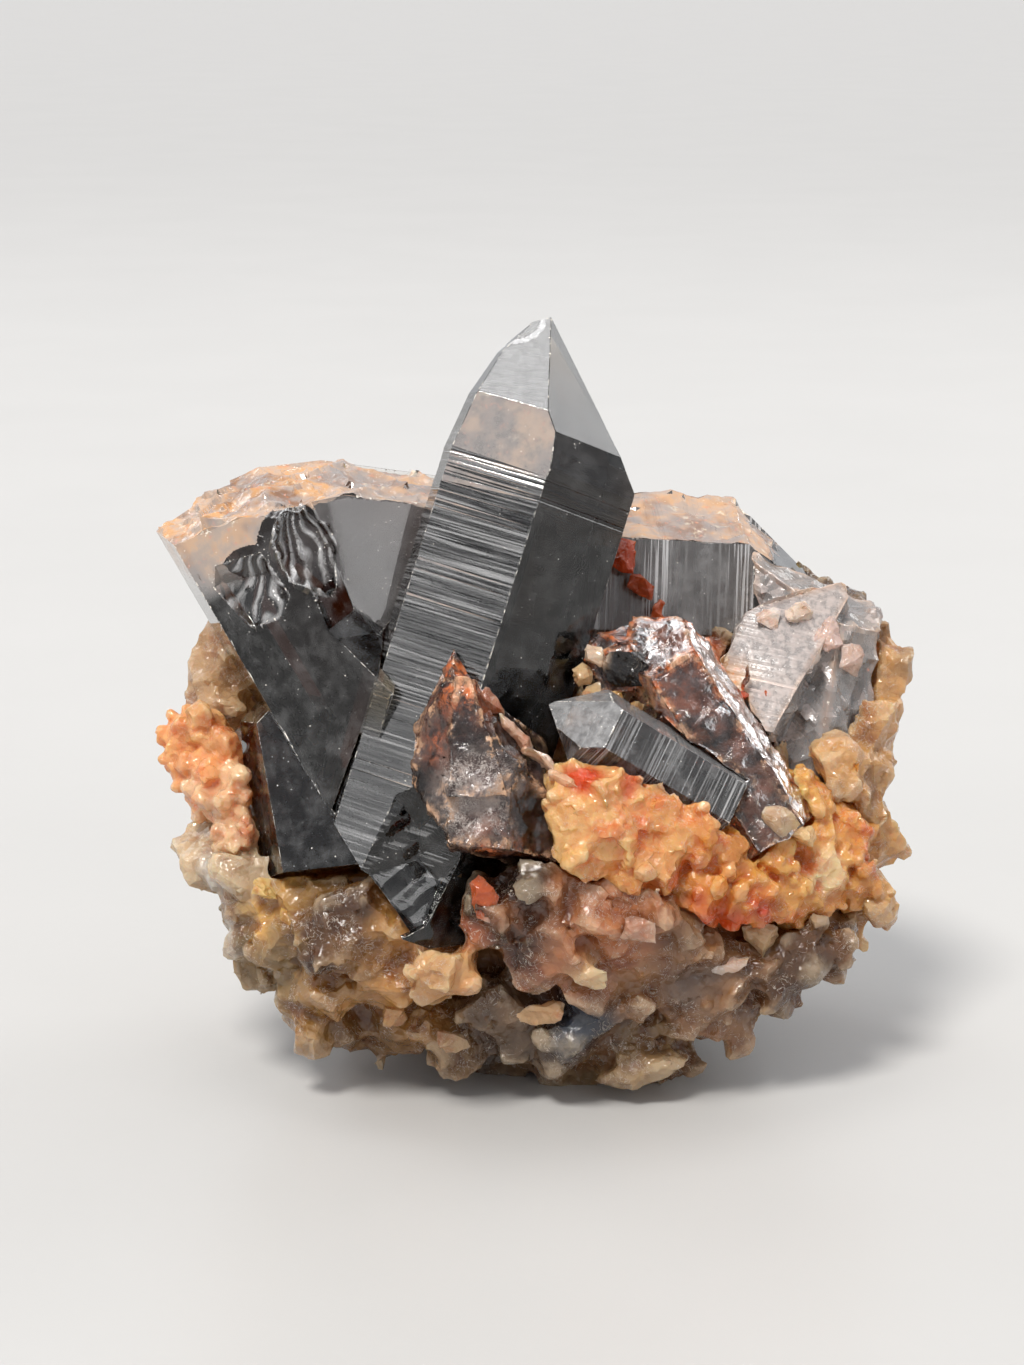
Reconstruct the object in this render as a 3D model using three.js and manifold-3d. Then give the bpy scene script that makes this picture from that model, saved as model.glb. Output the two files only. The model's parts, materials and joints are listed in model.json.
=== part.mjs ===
// A smoky quartz cluster: dark crystals grown on a lumpy matrix of pale quartz and feldspar,
// with an orange iron-stained crust across the front. Millimetres, +Z up, +Y away from the viewer.
import * as THREE from "three";
import { ConvexGeometry } from "three/addons/geometries/ConvexGeometry.js";
import { mergeVertices } from "three/addons/utils/BufferGeometryUtils.js";
import Module from "manifold-3d";

const wasm = await Module();
wasm.setup();

// Sizes that the whole cluster is worked out from.
const SOCKET_GAP = 0.3; // between a crystal and the rock or crystal that it sits in
const CAP_ANGLE = THREE.MathUtils.degToRad(51.8); // quartz: rhombohedron face normal to the long axis
const GRAIN_COUNT = 84; // broken grains spread round the rock, before those in front are left out
const FAR = 200; // further out than anything here

const vec = (x, y, z) => new THREE.Vector3(x, y, z);
const radians = THREE.MathUtils.degToRad;

// A repeatable stream of numbers from 0 to 1.
function randomStream(seed) {
  let state = seed;
  return () => {
    state = (state * 1664525 + 1013904223) % 4294967296;
    return state / 4294967296;
  };
}

// A plane as { n, d }: the solid is where n.p <= d.
function planeThrough(point, normal) {
  const n = normal.clone().normalize();
  return { n, d: n.dot(point) };
}

// The convex geometry on the inner side of every plane.
function convexFromPlanes(planes) {
  const corners = new Map();
  const cross = new THREE.Vector3();
  for (let i = 0; i < planes.length; i++) {
    for (let j = i + 1; j < planes.length; j++) {
      for (let k = j + 1; k < planes.length; k++) {
        const [a, b, c] = [planes[i], planes[j], planes[k]];
        const bc = cross.crossVectors(b.n, c.n).clone();
        const det = a.n.dot(bc);
        if (Math.abs(det) < 1e-6) continue;
        const ca = new THREE.Vector3().crossVectors(c.n, a.n);
        const ab = new THREE.Vector3().crossVectors(a.n, b.n);
        const p = bc.multiplyScalar(a.d).addScaledVector(ca, b.d).addScaledVector(ab, c.d);
        p.divideScalar(det);
        if (planes.every((q) => q.n.dot(p) <= q.d + 1e-4)) {
          const key = [p.x, p.y, p.z].map((v) => Math.round(v * 200)).join();
          corners.set(key, p);
        }
      }
    }
  }
  return new ConvexGeometry([...corners.values()]);
}

// A three.js geometry as a solid that can be joined and cut.
function solidOf(geometry) {
  const bare = geometry.index ? geometry.toNonIndexed() : geometry.clone();
  for (const name of Object.keys(bare.attributes)) {
    if (name !== "position") bare.deleteAttribute(name);
  }
  const merged = mergeVertices(bare, 1e-3);
  return new wasm.Manifold(
    new wasm.Mesh({
      numProp: 3,
      vertProperties: merged.attributes.position.array,
      triVerts: new Uint32Array(merged.index.array),
    }),
  );
}

// Back from a solid to a three.js geometry.
function geometryOf(solid) {
  const mesh = solid.getMesh();
  const positions = new Float32Array(mesh.numVert * 3);
  for (let i = 0; i < mesh.numVert; i++) {
    positions.set(mesh.vertProperties.subarray(i * mesh.numProp, i * mesh.numProp + 3), i * 3);
  }
  const geometry = new THREE.BufferGeometry();
  geometry.setAttribute("position", new THREE.BufferAttribute(positions, 3));
  geometry.setIndex(new THREE.BufferAttribute(mesh.triVerts, 1));
  return geometry;
}

const joined = (solids) => solids.reduce((all, one) => all.add(one));

// The largest body of a solid, so that a cut leaves no loose crumbs.
function mainBody(solid) {
  return solid.decompose().reduce((best, one) => (one.volume() > best.volume() ? one : best));
}

// The planes of a quartz crystal. tip is on its long axis, axis points from root to tip, and turn is
// how far the first prism face is turned from the viewer, to the right. sides are the distances of the six
// prism faces from the axis, going round. caps are the six faces of the point: how far each passes
// below the tip, or null where that face did not grow. bevels are steeper faces between a prism
// face and its cap, as [face number, angle of the normal from the axis, drop below the tip].
function crystalPlanes({ tip, axis, turn, sides, caps = [], bevels = [], length, cuts = [] }) {
  const up = axis.clone().normalize();
  const front = vec(0, -1, 0).addScaledVector(up, up.y).normalize();
  const right = new THREE.Vector3().crossVectors(up, front);
  const outward = (k) => {
    const angle = radians(turn + 60 * k);
    return front.clone().multiplyScalar(Math.cos(angle)).addScaledVector(right, Math.sin(angle));
  };
  const cap = (k, angle, drop) => {
    const n = up.clone().multiplyScalar(Math.cos(angle)).addScaledVector(outward(k), Math.sin(angle));
    return { n, d: n.dot(tip) - drop * Math.cos(angle) };
  };
  const planes = sides.map((distance, k) => ({ n: outward(k), d: outward(k).dot(tip) + distance }));
  caps.forEach((drop, k) => {
    if (drop !== null) planes.push(cap(k, CAP_ANGLE, drop));
  });
  bevels.forEach(([k, angle, drop]) => planes.push(cap(k, radians(angle), drop)));
  planes.push(planeThrough(tip.clone().addScaledVector(up, -length), up.clone().negate()));
  return [...planes, ...cuts];
}

// The same planes, moved outwards.
const grown = (planes, gap) => planes.map(({ n, d }) => ({ n, d: d + gap }));

// The tall point in front, leaning to the right, its root low in the rock on the left.
const MAIN_POINT = crystalPlanes({
  tip: vec(2.2, -1.1, 73.2),
  axis: vec(0.297, 0.231, 0.926),
  turn: -22,
  sides: [7.35, 9.5, 11.95, 10, 2.4, 6.25],
  caps: [null, 0, null, 0, 0, null],
  bevels: [
    [0, 55, 0],
    [0, 81.7, -34.9],
    [1, 75.5, -22.3],
    [2, 49, 0],
    [5, 58.8, -1.5],
    [5, 70.6, -6],
    [5, 81.6, -27.3],
  ],
  length: 66,
  cuts: [
    planeThrough(vec(-13.4, -22.3, 21.8), vec(-0.69, 0.31, -0.65)),
    planeThrough(vec(-9.2, -21.8, 17.4), vec(0.1, -0.3, -0.95)),
  ],
});

// The broken top that the two large crystals on the left share: it falls away to the left and right.
const LEFT_TOP = [
  planeThrough(vec(-36.9, -2, 51.3), vec(-0.42, -0.05, 0.9)),
  planeThrough(vec(-27, 8, 56.6), vec(-0.12, -0.05, 0.98)),
  planeThrough(vec(-22.4, 8, 57.8), vec(0.14, 0, 0.98)),
];

// The broad crystal on the left, leaning outwards, its point broken off.
const LEFT_BROAD = crystalPlanes({
  tip: vec(-31.2, 0, 67.4),
  axis: vec(-0.51, 0.28, 0.815),
  turn: -14,
  sides: [7, 12, 14, 10, 12.6, 10.5],
  length: 58,
  cuts: [...LEFT_TOP, planeThrough(vec(-9.6, -7.6, 52.2), vec(0.9, 0.1, -0.3))],
});

// The corner that is missing from the broad crystal, above a stepped break.
const LEFT_NOTCH = [
  planeThrough(vec(-18.5, -14.8, 45.9), vec(-0.76, 0.46, -0.455)),
  planeThrough(vec(-18.5, -14.8, 45.9), vec(-0.5, 0.4, -0.77)),
  planeThrough(vec(0, FAR, 0), vec(0, 1, 0)),
  planeThrough(vec(0, -FAR, 0), vec(0, -1, 0)),
  planeThrough(vec(FAR, 0, 0), vec(1, 0, 0)),
  planeThrough(vec(0, 0, FAR), vec(0, 0, 1)),
];

// Its neighbour, grown into it from behind, with the pale flat face.
const LEFT_INNER = [
  planeThrough(vec(-18.6, -11.5, 45.1), vec(0.24, -0.9, 0.36)),
  planeThrough(vec(-25.5, -8, 52), vec(-0.85, -0.1, -0.5)),
  planeThrough(vec(-4, 0, 50), vec(0.9, 0.1, -0.3)),
  ...LEFT_TOP,
  planeThrough(vec(-18, 12, 50), vec(0, 0.95, 0.2)),
  planeThrough(vec(-18, 0, 30), vec(0, -0.3, -0.95)),
];

// A steeper crystal at the foot of the broad one, on its left.
const LEFT_FOOT = [
  planeThrough(vec(-26.6, -8, 35.4), vec(-0.93, -0.35, -0.02)),
  planeThrough(vec(-21, -16.6, 26), vec(-0.25, -0.88, 0.4)),
  planeThrough(vec(-14, -15, 26), vec(0.9, -0.3, 0.2)),
  planeThrough(vec(-22, -4, 28), vec(-0.3, 0.9, -0.1)),
  planeThrough(vec(-25.6, -8, 36.4), vec(-0.7, -0.1, 0.7)),
  planeThrough(vec(-22, -14, 22.2), vec(0.1, -0.35, -0.93)),
];

// The dark crystal behind on the right, lying on its side and pointing right.
const BACK_RIGHT = crystalPlanes({
  tip: vec(32, 13.6, 43.2),
  axis: vec(0.99, 0.116, -0.076),
  turn: -17,
  sides: [8.6, 9, 9, 9, 9, 7.5],
  caps: [0, 2, 0, 2, 0, 2],
  length: 34,
  cuts: [planeThrough(vec(24, 17, 50), vec(0.5, 0.05, 0.85))],
});

// Two blocky crystals grown together on the right, pale striated faces to the front.
const RIGHT_BLOCK = [
  planeThrough(vec(24, -5, 42.5), vec(-0.05, -0.78, 0.62)),
  planeThrough(vec(18.3, -6, 40.1), vec(-0.82, 0.2, 0.3)),
  planeThrough(vec(22.9, -2, 45.5), vec(-0.3, 0.35, 0.88)),
  planeThrough(vec(29.7, -3, 43.6), vec(0.87, -0.34, -0.35)),
  planeThrough(vec(31, 0, 43.4), vec(0.9, 0.35, 0.25)),
  planeThrough(vec(25, 6, 42), vec(0.1, 0.9, 0.4)),
  planeThrough(vec(24.6, -8, 33), vec(-0.2, -0.5, -0.85)),
];
const RIGHT_SIDE = [
  planeThrough(vec(29.5, -5.5, 38), vec(-0.3, -0.9, 0.3)),
  planeThrough(vec(32, -3, 38), vec(0.6, -0.75, 0.1)),
  planeThrough(vec(33.5, 0, 38), vec(0.93, 0.2, -0.2)),
  planeThrough(vec(30, 0, 45), vec(0.45, -0.2, 0.87)),
  planeThrough(vec(29, 6, 40), vec(0, 0.95, 0.3)),
  planeThrough(vec(24, 0, 38), vec(-0.9, 0.2, -0.2)),
  planeThrough(vec(28, 0, 27), vec(0.1, -0.2, -0.97)),
];

// The long ridge crystal running down to the right from behind the tall point.
const RIDGE = crystalPlanes({
  tip: vec(8.1, -7, 47.8),
  axis: vec(-0.52, 0.25, 0.8),
  turn: 20,
  sides: [4.5, 4.5, 5, 5, 5, 4.5],
  caps: [3, 0, 2, 0, 3, 0],
  length: 28,
});

// A broken dark stub at the ridge crystal's upper end.
const RIDGE_STUB = lump([9, -9, 40.4], [4.4, 3.6, 4.4], { faces: 14 });

// The small dark crystal with the bright point, lying to the left.
const SMALL_DARK = crystalPlanes({
  tip: vec(1.2, -17.5, 39.6),
  axis: vec(-0.83, -0.1, 0.54),
  turn: -30,
  sides: [3.5, 4, 4, 4, 3.5, 3.5],
  caps: [0, 1, 0, 0, 0, 1],
  length: 20,
});

// The smoky violet crystal in front, frosted, with a thin spike at its top.
const FRONT_BLOCK = [
  planeThrough(vec(-4, -24, 33), vec(-0.05, -0.95, 0.25)),
  planeThrough(vec(-9, -22, 33), vec(-0.7, -0.65, 0.2)),
  planeThrough(vec(0.6, -22.6, 31), vec(0.65, -0.74, 0.15)),
  planeThrough(vec(-10.4, -20, 35), vec(-0.95, -0.1, 0.1)),
  planeThrough(vec(-10.3, -21, 37), vec(-0.89, -0.1, 0.46)),
  planeThrough(vec(-9.5, -22, 31.5), vec(-0.87, -0.2, -0.5)),
  planeThrough(vec(-3.5, -23, 27.2), vec(-0.1, -0.4, -0.9)),
  planeThrough(vec(1.8, -22, 31), vec(0.95, -0.1, 0.3)),
  planeThrough(vec(-3.2, -21, 38.8), vec(0.77, -0.2, 0.62)),
  planeThrough(vec(-4, -13, 36), vec(0, 0.95, 0.3)),
];
const FRONT_SPIKE = [
  planeThrough(vec(-7, -21, 42), vec(-0.97, -0.2, 0.12)),
  planeThrough(vec(-4.7, -20.6, 42), vec(0.93, -0.1, 0.33)),
  planeThrough(vec(-5.8, -21.9, 42), vec(0.1, -0.93, 0.35)),
  planeThrough(vec(-6, -21, 43), vec(0.1, 0.4, 0.92)),
  planeThrough(vec(-6, -17.4, 42), vec(0, 1, 0.1)),
  planeThrough(vec(-6, -20, 33), vec(0, 0, -1)),
];

// A rounded lump with flat faces: planes spread evenly round an ellipsoid and shaken a little.
function lump([x, y, z], size, { faces = 9, tilt = [0, 0, 0] } = {}) {
  const seed = x * 3 + y * 5 + z * 7;
  const random = randomStream(Math.abs(Math.round(seed * 7919)) + 17);
  const turned = new THREE.Euler(...tilt.map(radians));
  const turnPerFace = Math.PI * (3 - Math.sqrt(5));
  const planes = [];
  for (let i = 0; i < faces; i++) {
    const up = 1 - (2 * (i + 0.5)) / faces + (random() - 0.5) * 0.25;
    const ring = Math.sqrt(Math.max(0, 1 - up * up));
    const angle = turnPerFace * i + (random() - 0.5) * 0.7 + seed;
    const n = vec(ring * Math.cos(angle), ring * Math.sin(angle), up).normalize();
    const reach = Math.hypot(size[0] * n.x, size[1] * n.y, size[2] * n.z) * (0.84 + 0.16 * random());
    n.applyEuler(turned);
    planes.push({ n, d: n.dot(vec(x, y, z)) + reach });
  }
  return planes;
}

// Breaks in the crystals: shallow hollows with flat faces.
const LEFT_CHIPS = [
  lump([-20.4, -11.6, 53.2], [3.2, 4, 5], { faces: 20, tilt: [0, -18, 0] }),
  lump([-26.6, -14.8, 49.8], [5.4, 4.8, 4.4], { faces: 22, tilt: [0, 30, 0] }),
];
const MAIN_CHIPS = [lump([-10.6, -25.6, 28.6], [7.4, 7.4, 9.6], { faces: 30, tilt: [0, 18, 0] })];

// The crust of orange grains across the front, thickest in the middle.
const ORANGE_CRUST = [
  lump([3.4, -20.6, 31.6], [3.2, 2.6, 3]),
  lump([7.2, -20.6, 32], [3, 2.6, 2.8]),
  lump([11.2, -19.6, 30.4], [3.2, 2.6, 2.8]),
  lump([6.2, -21.4, 27.8], [4, 3, 3.2]),
  lump([11, -20.4, 26], [3.6, 3, 3.4]),
  lump([14.6, -19, 27.6], [3, 2.6, 3]),
  lump([15.6, -18.6, 22.4], [3.2, 2.8, 2.8]),
  lump([18.2, -17.2, 25.8], [3, 2.8, 3]),
  lump([19.6, -17, 21.6], [3, 2.8, 2.8]),
  lump([22.2, -15, 24.6], [2.8, 2.6, 3]),
  lump([23.6, -14.8, 20.8], [3.2, 2.8, 2.8]),
  lump([26.4, -11.6, 24.6], [3.2, 2.8, 3.2]),
  lump([27.6, -12.2, 20.4], [3, 2.6, 2.8]),
  lump([26.2, -10.4, 28.6], [2.4, 2.4, 2.6]),
  lump([30.2, -9.2, 24.2], [2.8, 2.6, 3.2]),
  lump([30.6, -9.8, 19.8], [2.4, 2.4, 2.4]),
];

// The knot of orange nodules on the far left.
const LEFT_DRUSE = [
  lump([-33.4, -3, 32.8], [1.9, 1.9, 1.8]),
  lump([-31.2, -4.4, 33.6], [2, 2, 1.8]),
  lump([-32.4, -4, 30.4], [2.1, 2, 2]),
  lump([-29.8, -6, 30.8], [2.2, 2, 2.2]),
  lump([-28.4, -8, 28], [2.2, 2, 2.4]),
  lump([-30.8, -5.4, 27.6], [2.2, 2.2, 2.2]),
  lump([-27.4, -10, 24.8], [1.9, 1.9, 2.4]),
];

// The body of the rock, as a few large lumps.
const ROCK_BODY = [
  { at: [1.5, 3, 18], size: [25.5, 18.5, 18.5] },
  { at: [3, -1, 6], size: [16, 12.5, 9] },
  { at: [19.5, 4, 25.5], size: [12, 15, 15.5] },
  { at: [-18, 1, 21], size: [10.5, 12.5, 13] },
  { at: [8, -7, 17], size: [18, 12.5, 11.5] },
  { at: [9, 4, 31], size: [15, 14, 10] },
];

// Lumps of the rock whose places are seen from the front.
const ROCK_LUMPS = [
  // The upper left edge, behind the broad crystal.
  lump([-29.4, 2.6, 38.4], [2.6, 3, 4]),
  lump([-30.2, 1, 35.4], [2.6, 3, 3.4]),
  // Down the left side.
  lump([-26.8, -10, 21.6], [2.6, 3, 3.2]),
  lump([-28.6, -4.6, 22], [3.4, 4, 4.2]),
  lump([-26, -8.6, 17.6], [3.6, 4, 4]),
  lump([-22.6, -13, 15.8], [4, 3.8, 3.6]),
  lump([-24.4, -7, 12], [3.8, 4, 3.4]),
  lump([-23.6, -12, 20], [3.4, 3.4, 3.4]),
  lump([-18.4, -15.8, 17.6], [4.2, 3.4, 4.4]),
  lump([-15, -18.6, 18.4], [3.8, 3.2, 4.6]),
  lump([-18.8, -15, 11.6], [3.8, 3.6, 3.2]),
  lump([-19, -11, 7.6], [4.4, 4, 3.4]),
  // Along the foot.
  lump([-12.8, -17.4, 13.4], [3.8, 3.6, 3]),
  lump([-12.4, -10.4, 7.4], [4.6, 4, 3.4]),
  lump([-8, -20.2, 15], [3.4, 2.8, 2.8]),
  lump([-6.2, -12.4, 6.4], [4.6, 4, 3.2]),
  lump([-2.4, -15.8, 9.2], [4.6, 3.6, 2.6]),
  lump([4.6, -14.6, 6.8], [5.4, 4, 2.6], { tilt: [0, -12, 0] }),
  lump([10.6, -11, 3.4], [5.6, 3.8, 3], { tilt: [0, -14, 0] }),
  lump([4.6, -10, 2.6], [4.4, 3.4, 2.6]),
  // Flat slabs that rise to the right.
  lump([12, -17.4, 15.4], [7, 3.4, 2.2], { tilt: [0, -20, 0] }),
  lump([18, -15.4, 12.4], [7, 3.4, 2], { tilt: [0, -22, 0] }),
  lump([15.6, -13.4, 8.8], [7.4, 3.8, 2.2], { tilt: [0, -20, 0] }),
  // The lower right side.
  lump([23.2, -13, 14], [4.6, 4, 3.6]),
  lump([27.6, -10.6, 15], [3.8, 4, 3]),
  lump([22.6, -7.6, 9.6], [4.4, 4.4, 3.2]),
  lump([29.8, -5.6, 16.8], [3.4, 4, 3.2]),
  lump([32, -2.6, 21.6], [3.2, 4.2, 4.2]),
  lump([31.8, -4.2, 28.6], [3, 3.6, 4]),
  lump([32.8, 1, 28], [2.8, 4, 4.2]),
  lump([32.6, -1, 33.4], [2.8, 3.6, 4]),
  lump([33.8, 3.4, 37], [2.8, 4, 4]),
  lump([29.6, -7, 30.6], [2.8, 3, 3.4]),
  // The dark shoulder at the back on the right.
  lump([31.4, 8, 40], [4.2, 5, 4.4]),
  lump([27.6, 13, 40.6], [5.2, 5, 4.6]),
  // The pinkish mass below the crust.
  lump([6.4, -20.6, 21], [4.8, 3.8, 3.4]),
  lump([2.8, -20, 16.8], [4.2, 3.8, 3.4]),
  lump([10.4, -19.8, 20.6], [4.2, 3.8, 3.2]),
  lump([1.4, -21.4, 24], [3.4, 3.2, 3.2]),
  lump([-3, -20.8, 20.4], [3.6, 3, 3.4]),
  lump([5.8, -18.4, 13], [3.6, 3.4, 2.8]),
  // Behind, below the crystals that lean out there.
  lump([-17, 12, 27], [9, 6, 8], { faces: 14 }),
  lump([-24, 5, 30], [5, 6, 6], { faces: 12 }),
  lump([-1, 16, 32], [8, 6, 9], { faces: 14 }),
  // Pale grains between the crystals, and the orange stump above them.
  lump([5.2, -7.6, 39.2], [3.2, 3, 3.2]),
  lump([7.4, -7, 36.6], [4, 4, 4]),
  lump([9.4, -2.6, 47], [1.8, 2, 4.4], { tilt: [0, 14, 0] }),
  lump([12, -2.6, 45.2], [2.4, 2.2, 2.6]),
];

// The outer surface of the rock body from a point inside it, along a direction.
function surfaceAlong(from, direction) {
  let reach = 0;
  for (const { at, size } of ROCK_BODY) {
    const scaled = (v) => vec(v.x / size[0], v.y / size[1], v.z / size[2]);
    const a = scaled(from.clone().sub(vec(...at)));
    const b = scaled(direction);
    const root = a.dot(b) ** 2 - b.lengthSq() * (a.lengthSq() - 1);
    if (root > 0) reach = Math.max(reach, (Math.sqrt(root) - a.dot(b)) / b.lengthSq());
  }
  return from.clone().addScaledVector(direction, reach);
}

// Broken grains over the sides, the back and the underside, spread evenly round the rock.
function brokenGrains(count) {
  const random = randomStream(4021);
  const middle = vec(2, 3, 20);
  const placed = [];
  for (let i = 0; i < count; i++) {
    const up = 1 - (2 * (i + 0.5)) / count;
    const ring = Math.sqrt(1 - up * up);
    const angle = Math.PI * (3 - Math.sqrt(5)) * i;
    const way = vec(ring * Math.cos(angle), ring * Math.sin(angle), up);
    const spot = surfaceAlong(middle, way);
    const inFront = spot.y < -5 && spot.z > 3;
    if (inFront || spot.z > 40) continue;
    const wide = 3.4 + 3 * random();
    const size = [wide, wide * (0.7 + 0.5 * random()), wide * (0.6 + 0.4 * random())];
    spot.addScaledVector(way, -wide * (0.6 + 0.25 * random()));
    const faces = 8 + Math.floor(3 * random());
    placed.push(lump(spot.toArray(), size, { faces, tilt: [60 * random(), 60 * random(), 0] }));
  }
  return placed;
}

// The empty space below the flat foot.
const BELOW_FOOT = [
  planeThrough(vec(0, 0, 0), vec(0, 0, 1)),
  planeThrough(vec(0, 0, -FAR), vec(0, 0, -1)),
  planeThrough(vec(FAR, 0, 0), vec(1, 0, 0)),
  planeThrough(vec(-FAR, 0, 0), vec(-1, 0, 0)),
  planeThrough(vec(0, FAR, 0), vec(0, 1, 0)),
  planeThrough(vec(0, -FAR, 0), vec(0, -1, 0)),
];

const MATERIALS = {
  smoky: { color: 0x2b2522, roughness: 0.08 },
  brown: { color: 0x8a6344, roughness: 0.25 },
  frosted: { color: 0x5f4744, roughness: 0.3 },
  rock: { color: 0xc9a476, roughness: 0.45 },
  orange: { color: 0xe27a35, roughness: 0.4 },
};

const solid = (planes) => solidOf(convexFromPlanes(planes));
const solidFrom = (bodies) => joined(bodies.map(solid));

const cluster = new THREE.Group();
const taken = []; // the pieces placed so far, each a gap larger all round

// Cuts a piece clear of the pieces placed before it and adds it. bodies are the convex bodies that
// it is made of, from which the room that it takes is worked out.
function place(name, material, whole, bodies) {
  const free = taken.reduce((rest, other) => rest.subtract(other), whole);
  taken.push(joined(bodies.map((planes) => solid(grown(planes, SOCKET_GAP)))));
  const mesh = new THREE.Mesh(
    geometryOf(mainBody(free)),
    new THREE.MeshStandardMaterial({ ...MATERIALS[material], metalness: 0 }),
  );
  mesh.name = name;
  cluster.add(mesh);
}

function placeJoined(name, material, bodies) {
  place(name, material, solidFrom(bodies), bodies);
}

place("main_point", "smoky", solid(MAIN_POINT).subtract(solidFrom(MAIN_CHIPS)), [MAIN_POINT]);
place(
  "left_crystals",
  "smoky",
  solid(LEFT_BROAD)
    .subtract(solid(LEFT_NOTCH))
    .add(solidFrom([LEFT_INNER, LEFT_FOOT]))
    .subtract(solidFrom(LEFT_CHIPS)),
  [LEFT_BROAD, LEFT_INNER, LEFT_FOOT],
);
placeJoined("front_crystal", "frosted", [FRONT_BLOCK, FRONT_SPIKE]);
placeJoined("small_dark_crystal", "smoky", [SMALL_DARK]);
placeJoined("ridge_crystal", "frosted", [RIDGE, RIDGE_STUB]);
placeJoined("right_crystals", "brown", [RIGHT_BLOCK, RIGHT_SIDE]);
placeJoined("back_right_crystal", "smoky", [BACK_RIGHT]);
placeJoined("orange_crust", "orange", ORANGE_CRUST);
placeJoined("left_druse", "orange", LEFT_DRUSE);

const rock = [
  ...ROCK_BODY.map(({ at, size }) => lump(at, size, { faces: 24 })),
  ...ROCK_LUMPS,
  ...brokenGrains(GRAIN_COUNT),
];
place("matrix", "rock", solidFrom(rock).subtract(solid(BELOW_FOOT)), rock);

// The origin is the middle of the foot, under the middle of the cluster.
const box = new THREE.Box3().setFromObject(cluster);
const middle = box.getCenter(vec(0, 0, 0));
for (const mesh of cluster.children) {
  mesh.geometry.translate(-middle.x, -middle.y, -box.min.z);
}

export default cluster;
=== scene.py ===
import json
import math
import random

import bmesh
import bpy
from mathutils import Euler, Matrix, Vector, noise
from mathutils.bvhtree import BVHTree
from mathutils.kdtree import KDTree

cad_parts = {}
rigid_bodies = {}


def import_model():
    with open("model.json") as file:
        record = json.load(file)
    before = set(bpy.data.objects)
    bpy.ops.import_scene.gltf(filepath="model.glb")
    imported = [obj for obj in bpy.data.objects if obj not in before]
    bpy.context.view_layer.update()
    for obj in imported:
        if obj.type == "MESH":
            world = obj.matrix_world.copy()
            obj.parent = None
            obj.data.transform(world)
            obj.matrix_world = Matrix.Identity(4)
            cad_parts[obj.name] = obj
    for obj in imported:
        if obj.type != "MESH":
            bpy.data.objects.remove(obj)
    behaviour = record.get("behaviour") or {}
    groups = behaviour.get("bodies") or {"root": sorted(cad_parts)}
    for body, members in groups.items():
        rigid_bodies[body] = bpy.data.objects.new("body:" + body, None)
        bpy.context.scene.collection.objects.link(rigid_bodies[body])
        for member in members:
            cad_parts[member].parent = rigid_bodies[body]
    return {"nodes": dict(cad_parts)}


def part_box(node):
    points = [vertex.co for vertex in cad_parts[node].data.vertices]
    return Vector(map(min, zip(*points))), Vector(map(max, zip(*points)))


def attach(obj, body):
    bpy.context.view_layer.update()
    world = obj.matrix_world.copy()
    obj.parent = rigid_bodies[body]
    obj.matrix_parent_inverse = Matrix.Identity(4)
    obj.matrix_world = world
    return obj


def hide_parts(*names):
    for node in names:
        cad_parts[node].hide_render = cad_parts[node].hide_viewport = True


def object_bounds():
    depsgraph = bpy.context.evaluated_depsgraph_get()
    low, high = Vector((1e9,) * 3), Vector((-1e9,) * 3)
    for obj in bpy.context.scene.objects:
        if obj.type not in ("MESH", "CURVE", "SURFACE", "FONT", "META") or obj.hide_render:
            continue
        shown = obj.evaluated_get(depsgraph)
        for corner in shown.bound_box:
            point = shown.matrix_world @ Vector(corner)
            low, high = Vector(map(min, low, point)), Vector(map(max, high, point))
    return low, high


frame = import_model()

CAD_BOX = [list(corner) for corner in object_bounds()]
MM = 0.001
BODY = "root"

# noise_vector is offset by this seed, and by the time of day without it.
noise.seed_set(7)

# The long axes of the crystals, from root to tip.
MAIN_AXIS = Vector((0.297, 0.231, 0.926)).normalized()
LEFT_AXIS = Vector((-0.51, 0.28, 0.815)).normalized()
SMALL_AXIS = Vector((-0.83, -0.1, 0.54)).normalized()
BACK_AXIS = Vector((0.99, 0.116, -0.076)).normalized()
UP = Vector((0, 0, 1))

# Edges sharper than the first are bevelled, and the second counts as an edge that dust lies on.
BEVELLED = math.radians(25)
SHARP = math.radians(30)
# In millimetres: vertices this near are one, the half width of a dusty edge, the spacing of the
# points that mark it, how far worn grains are swollen back, what is flattened over the ground,
# a step that stands out fully, and a height past every crystal's ends.
WELD = 0.0005
EDGE_REACH = 0.11
EDGE_SPACING = 0.4
WORN = 0.04
FOOT_HEIGHT = 0.35
RIDGE_SIZE = 0.12
BEYOND = 1000.0
# The share of faces kept on the grains, and how far grains lean and stretch at random.
KEPT_FACES = 0.3
LEAN = 0.35
STRETCH = 0.2
QUARTZ_IOR = 1.544


def srgb(red, green, blue):
    """A colour given as it looks on a screen, 0 to 255, as Blender's linear values."""
    def linear(value):
        share = value / 255
        return share / 12.92 if share <= 0.04045 else ((share + 0.055) / 1.055) ** 2.4

    return (linear(red), linear(green), linear(blue), 1.0)


# Colours that several materials share.
CREAM = srgb(236, 214, 178)
PALE_DUST = srgb(232, 224, 210)


# Meshes


def node_copy(name):
    """A CAD node as a closed bmesh in millimetres, with each flat face in one piece."""
    bm = bmesh.new()
    bm.from_mesh(frame["nodes"][name].data)
    bmesh.ops.scale(bm, vec=Vector((1, 1, 1)) / MM, verts=bm.verts)
    bmesh.ops.remove_doubles(bm, verts=bm.verts, dist=WELD)
    bmesh.ops.dissolve_limit(bm, angle_limit=math.radians(0.7), verts=bm.verts, edges=bm.edges)
    return bm


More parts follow.
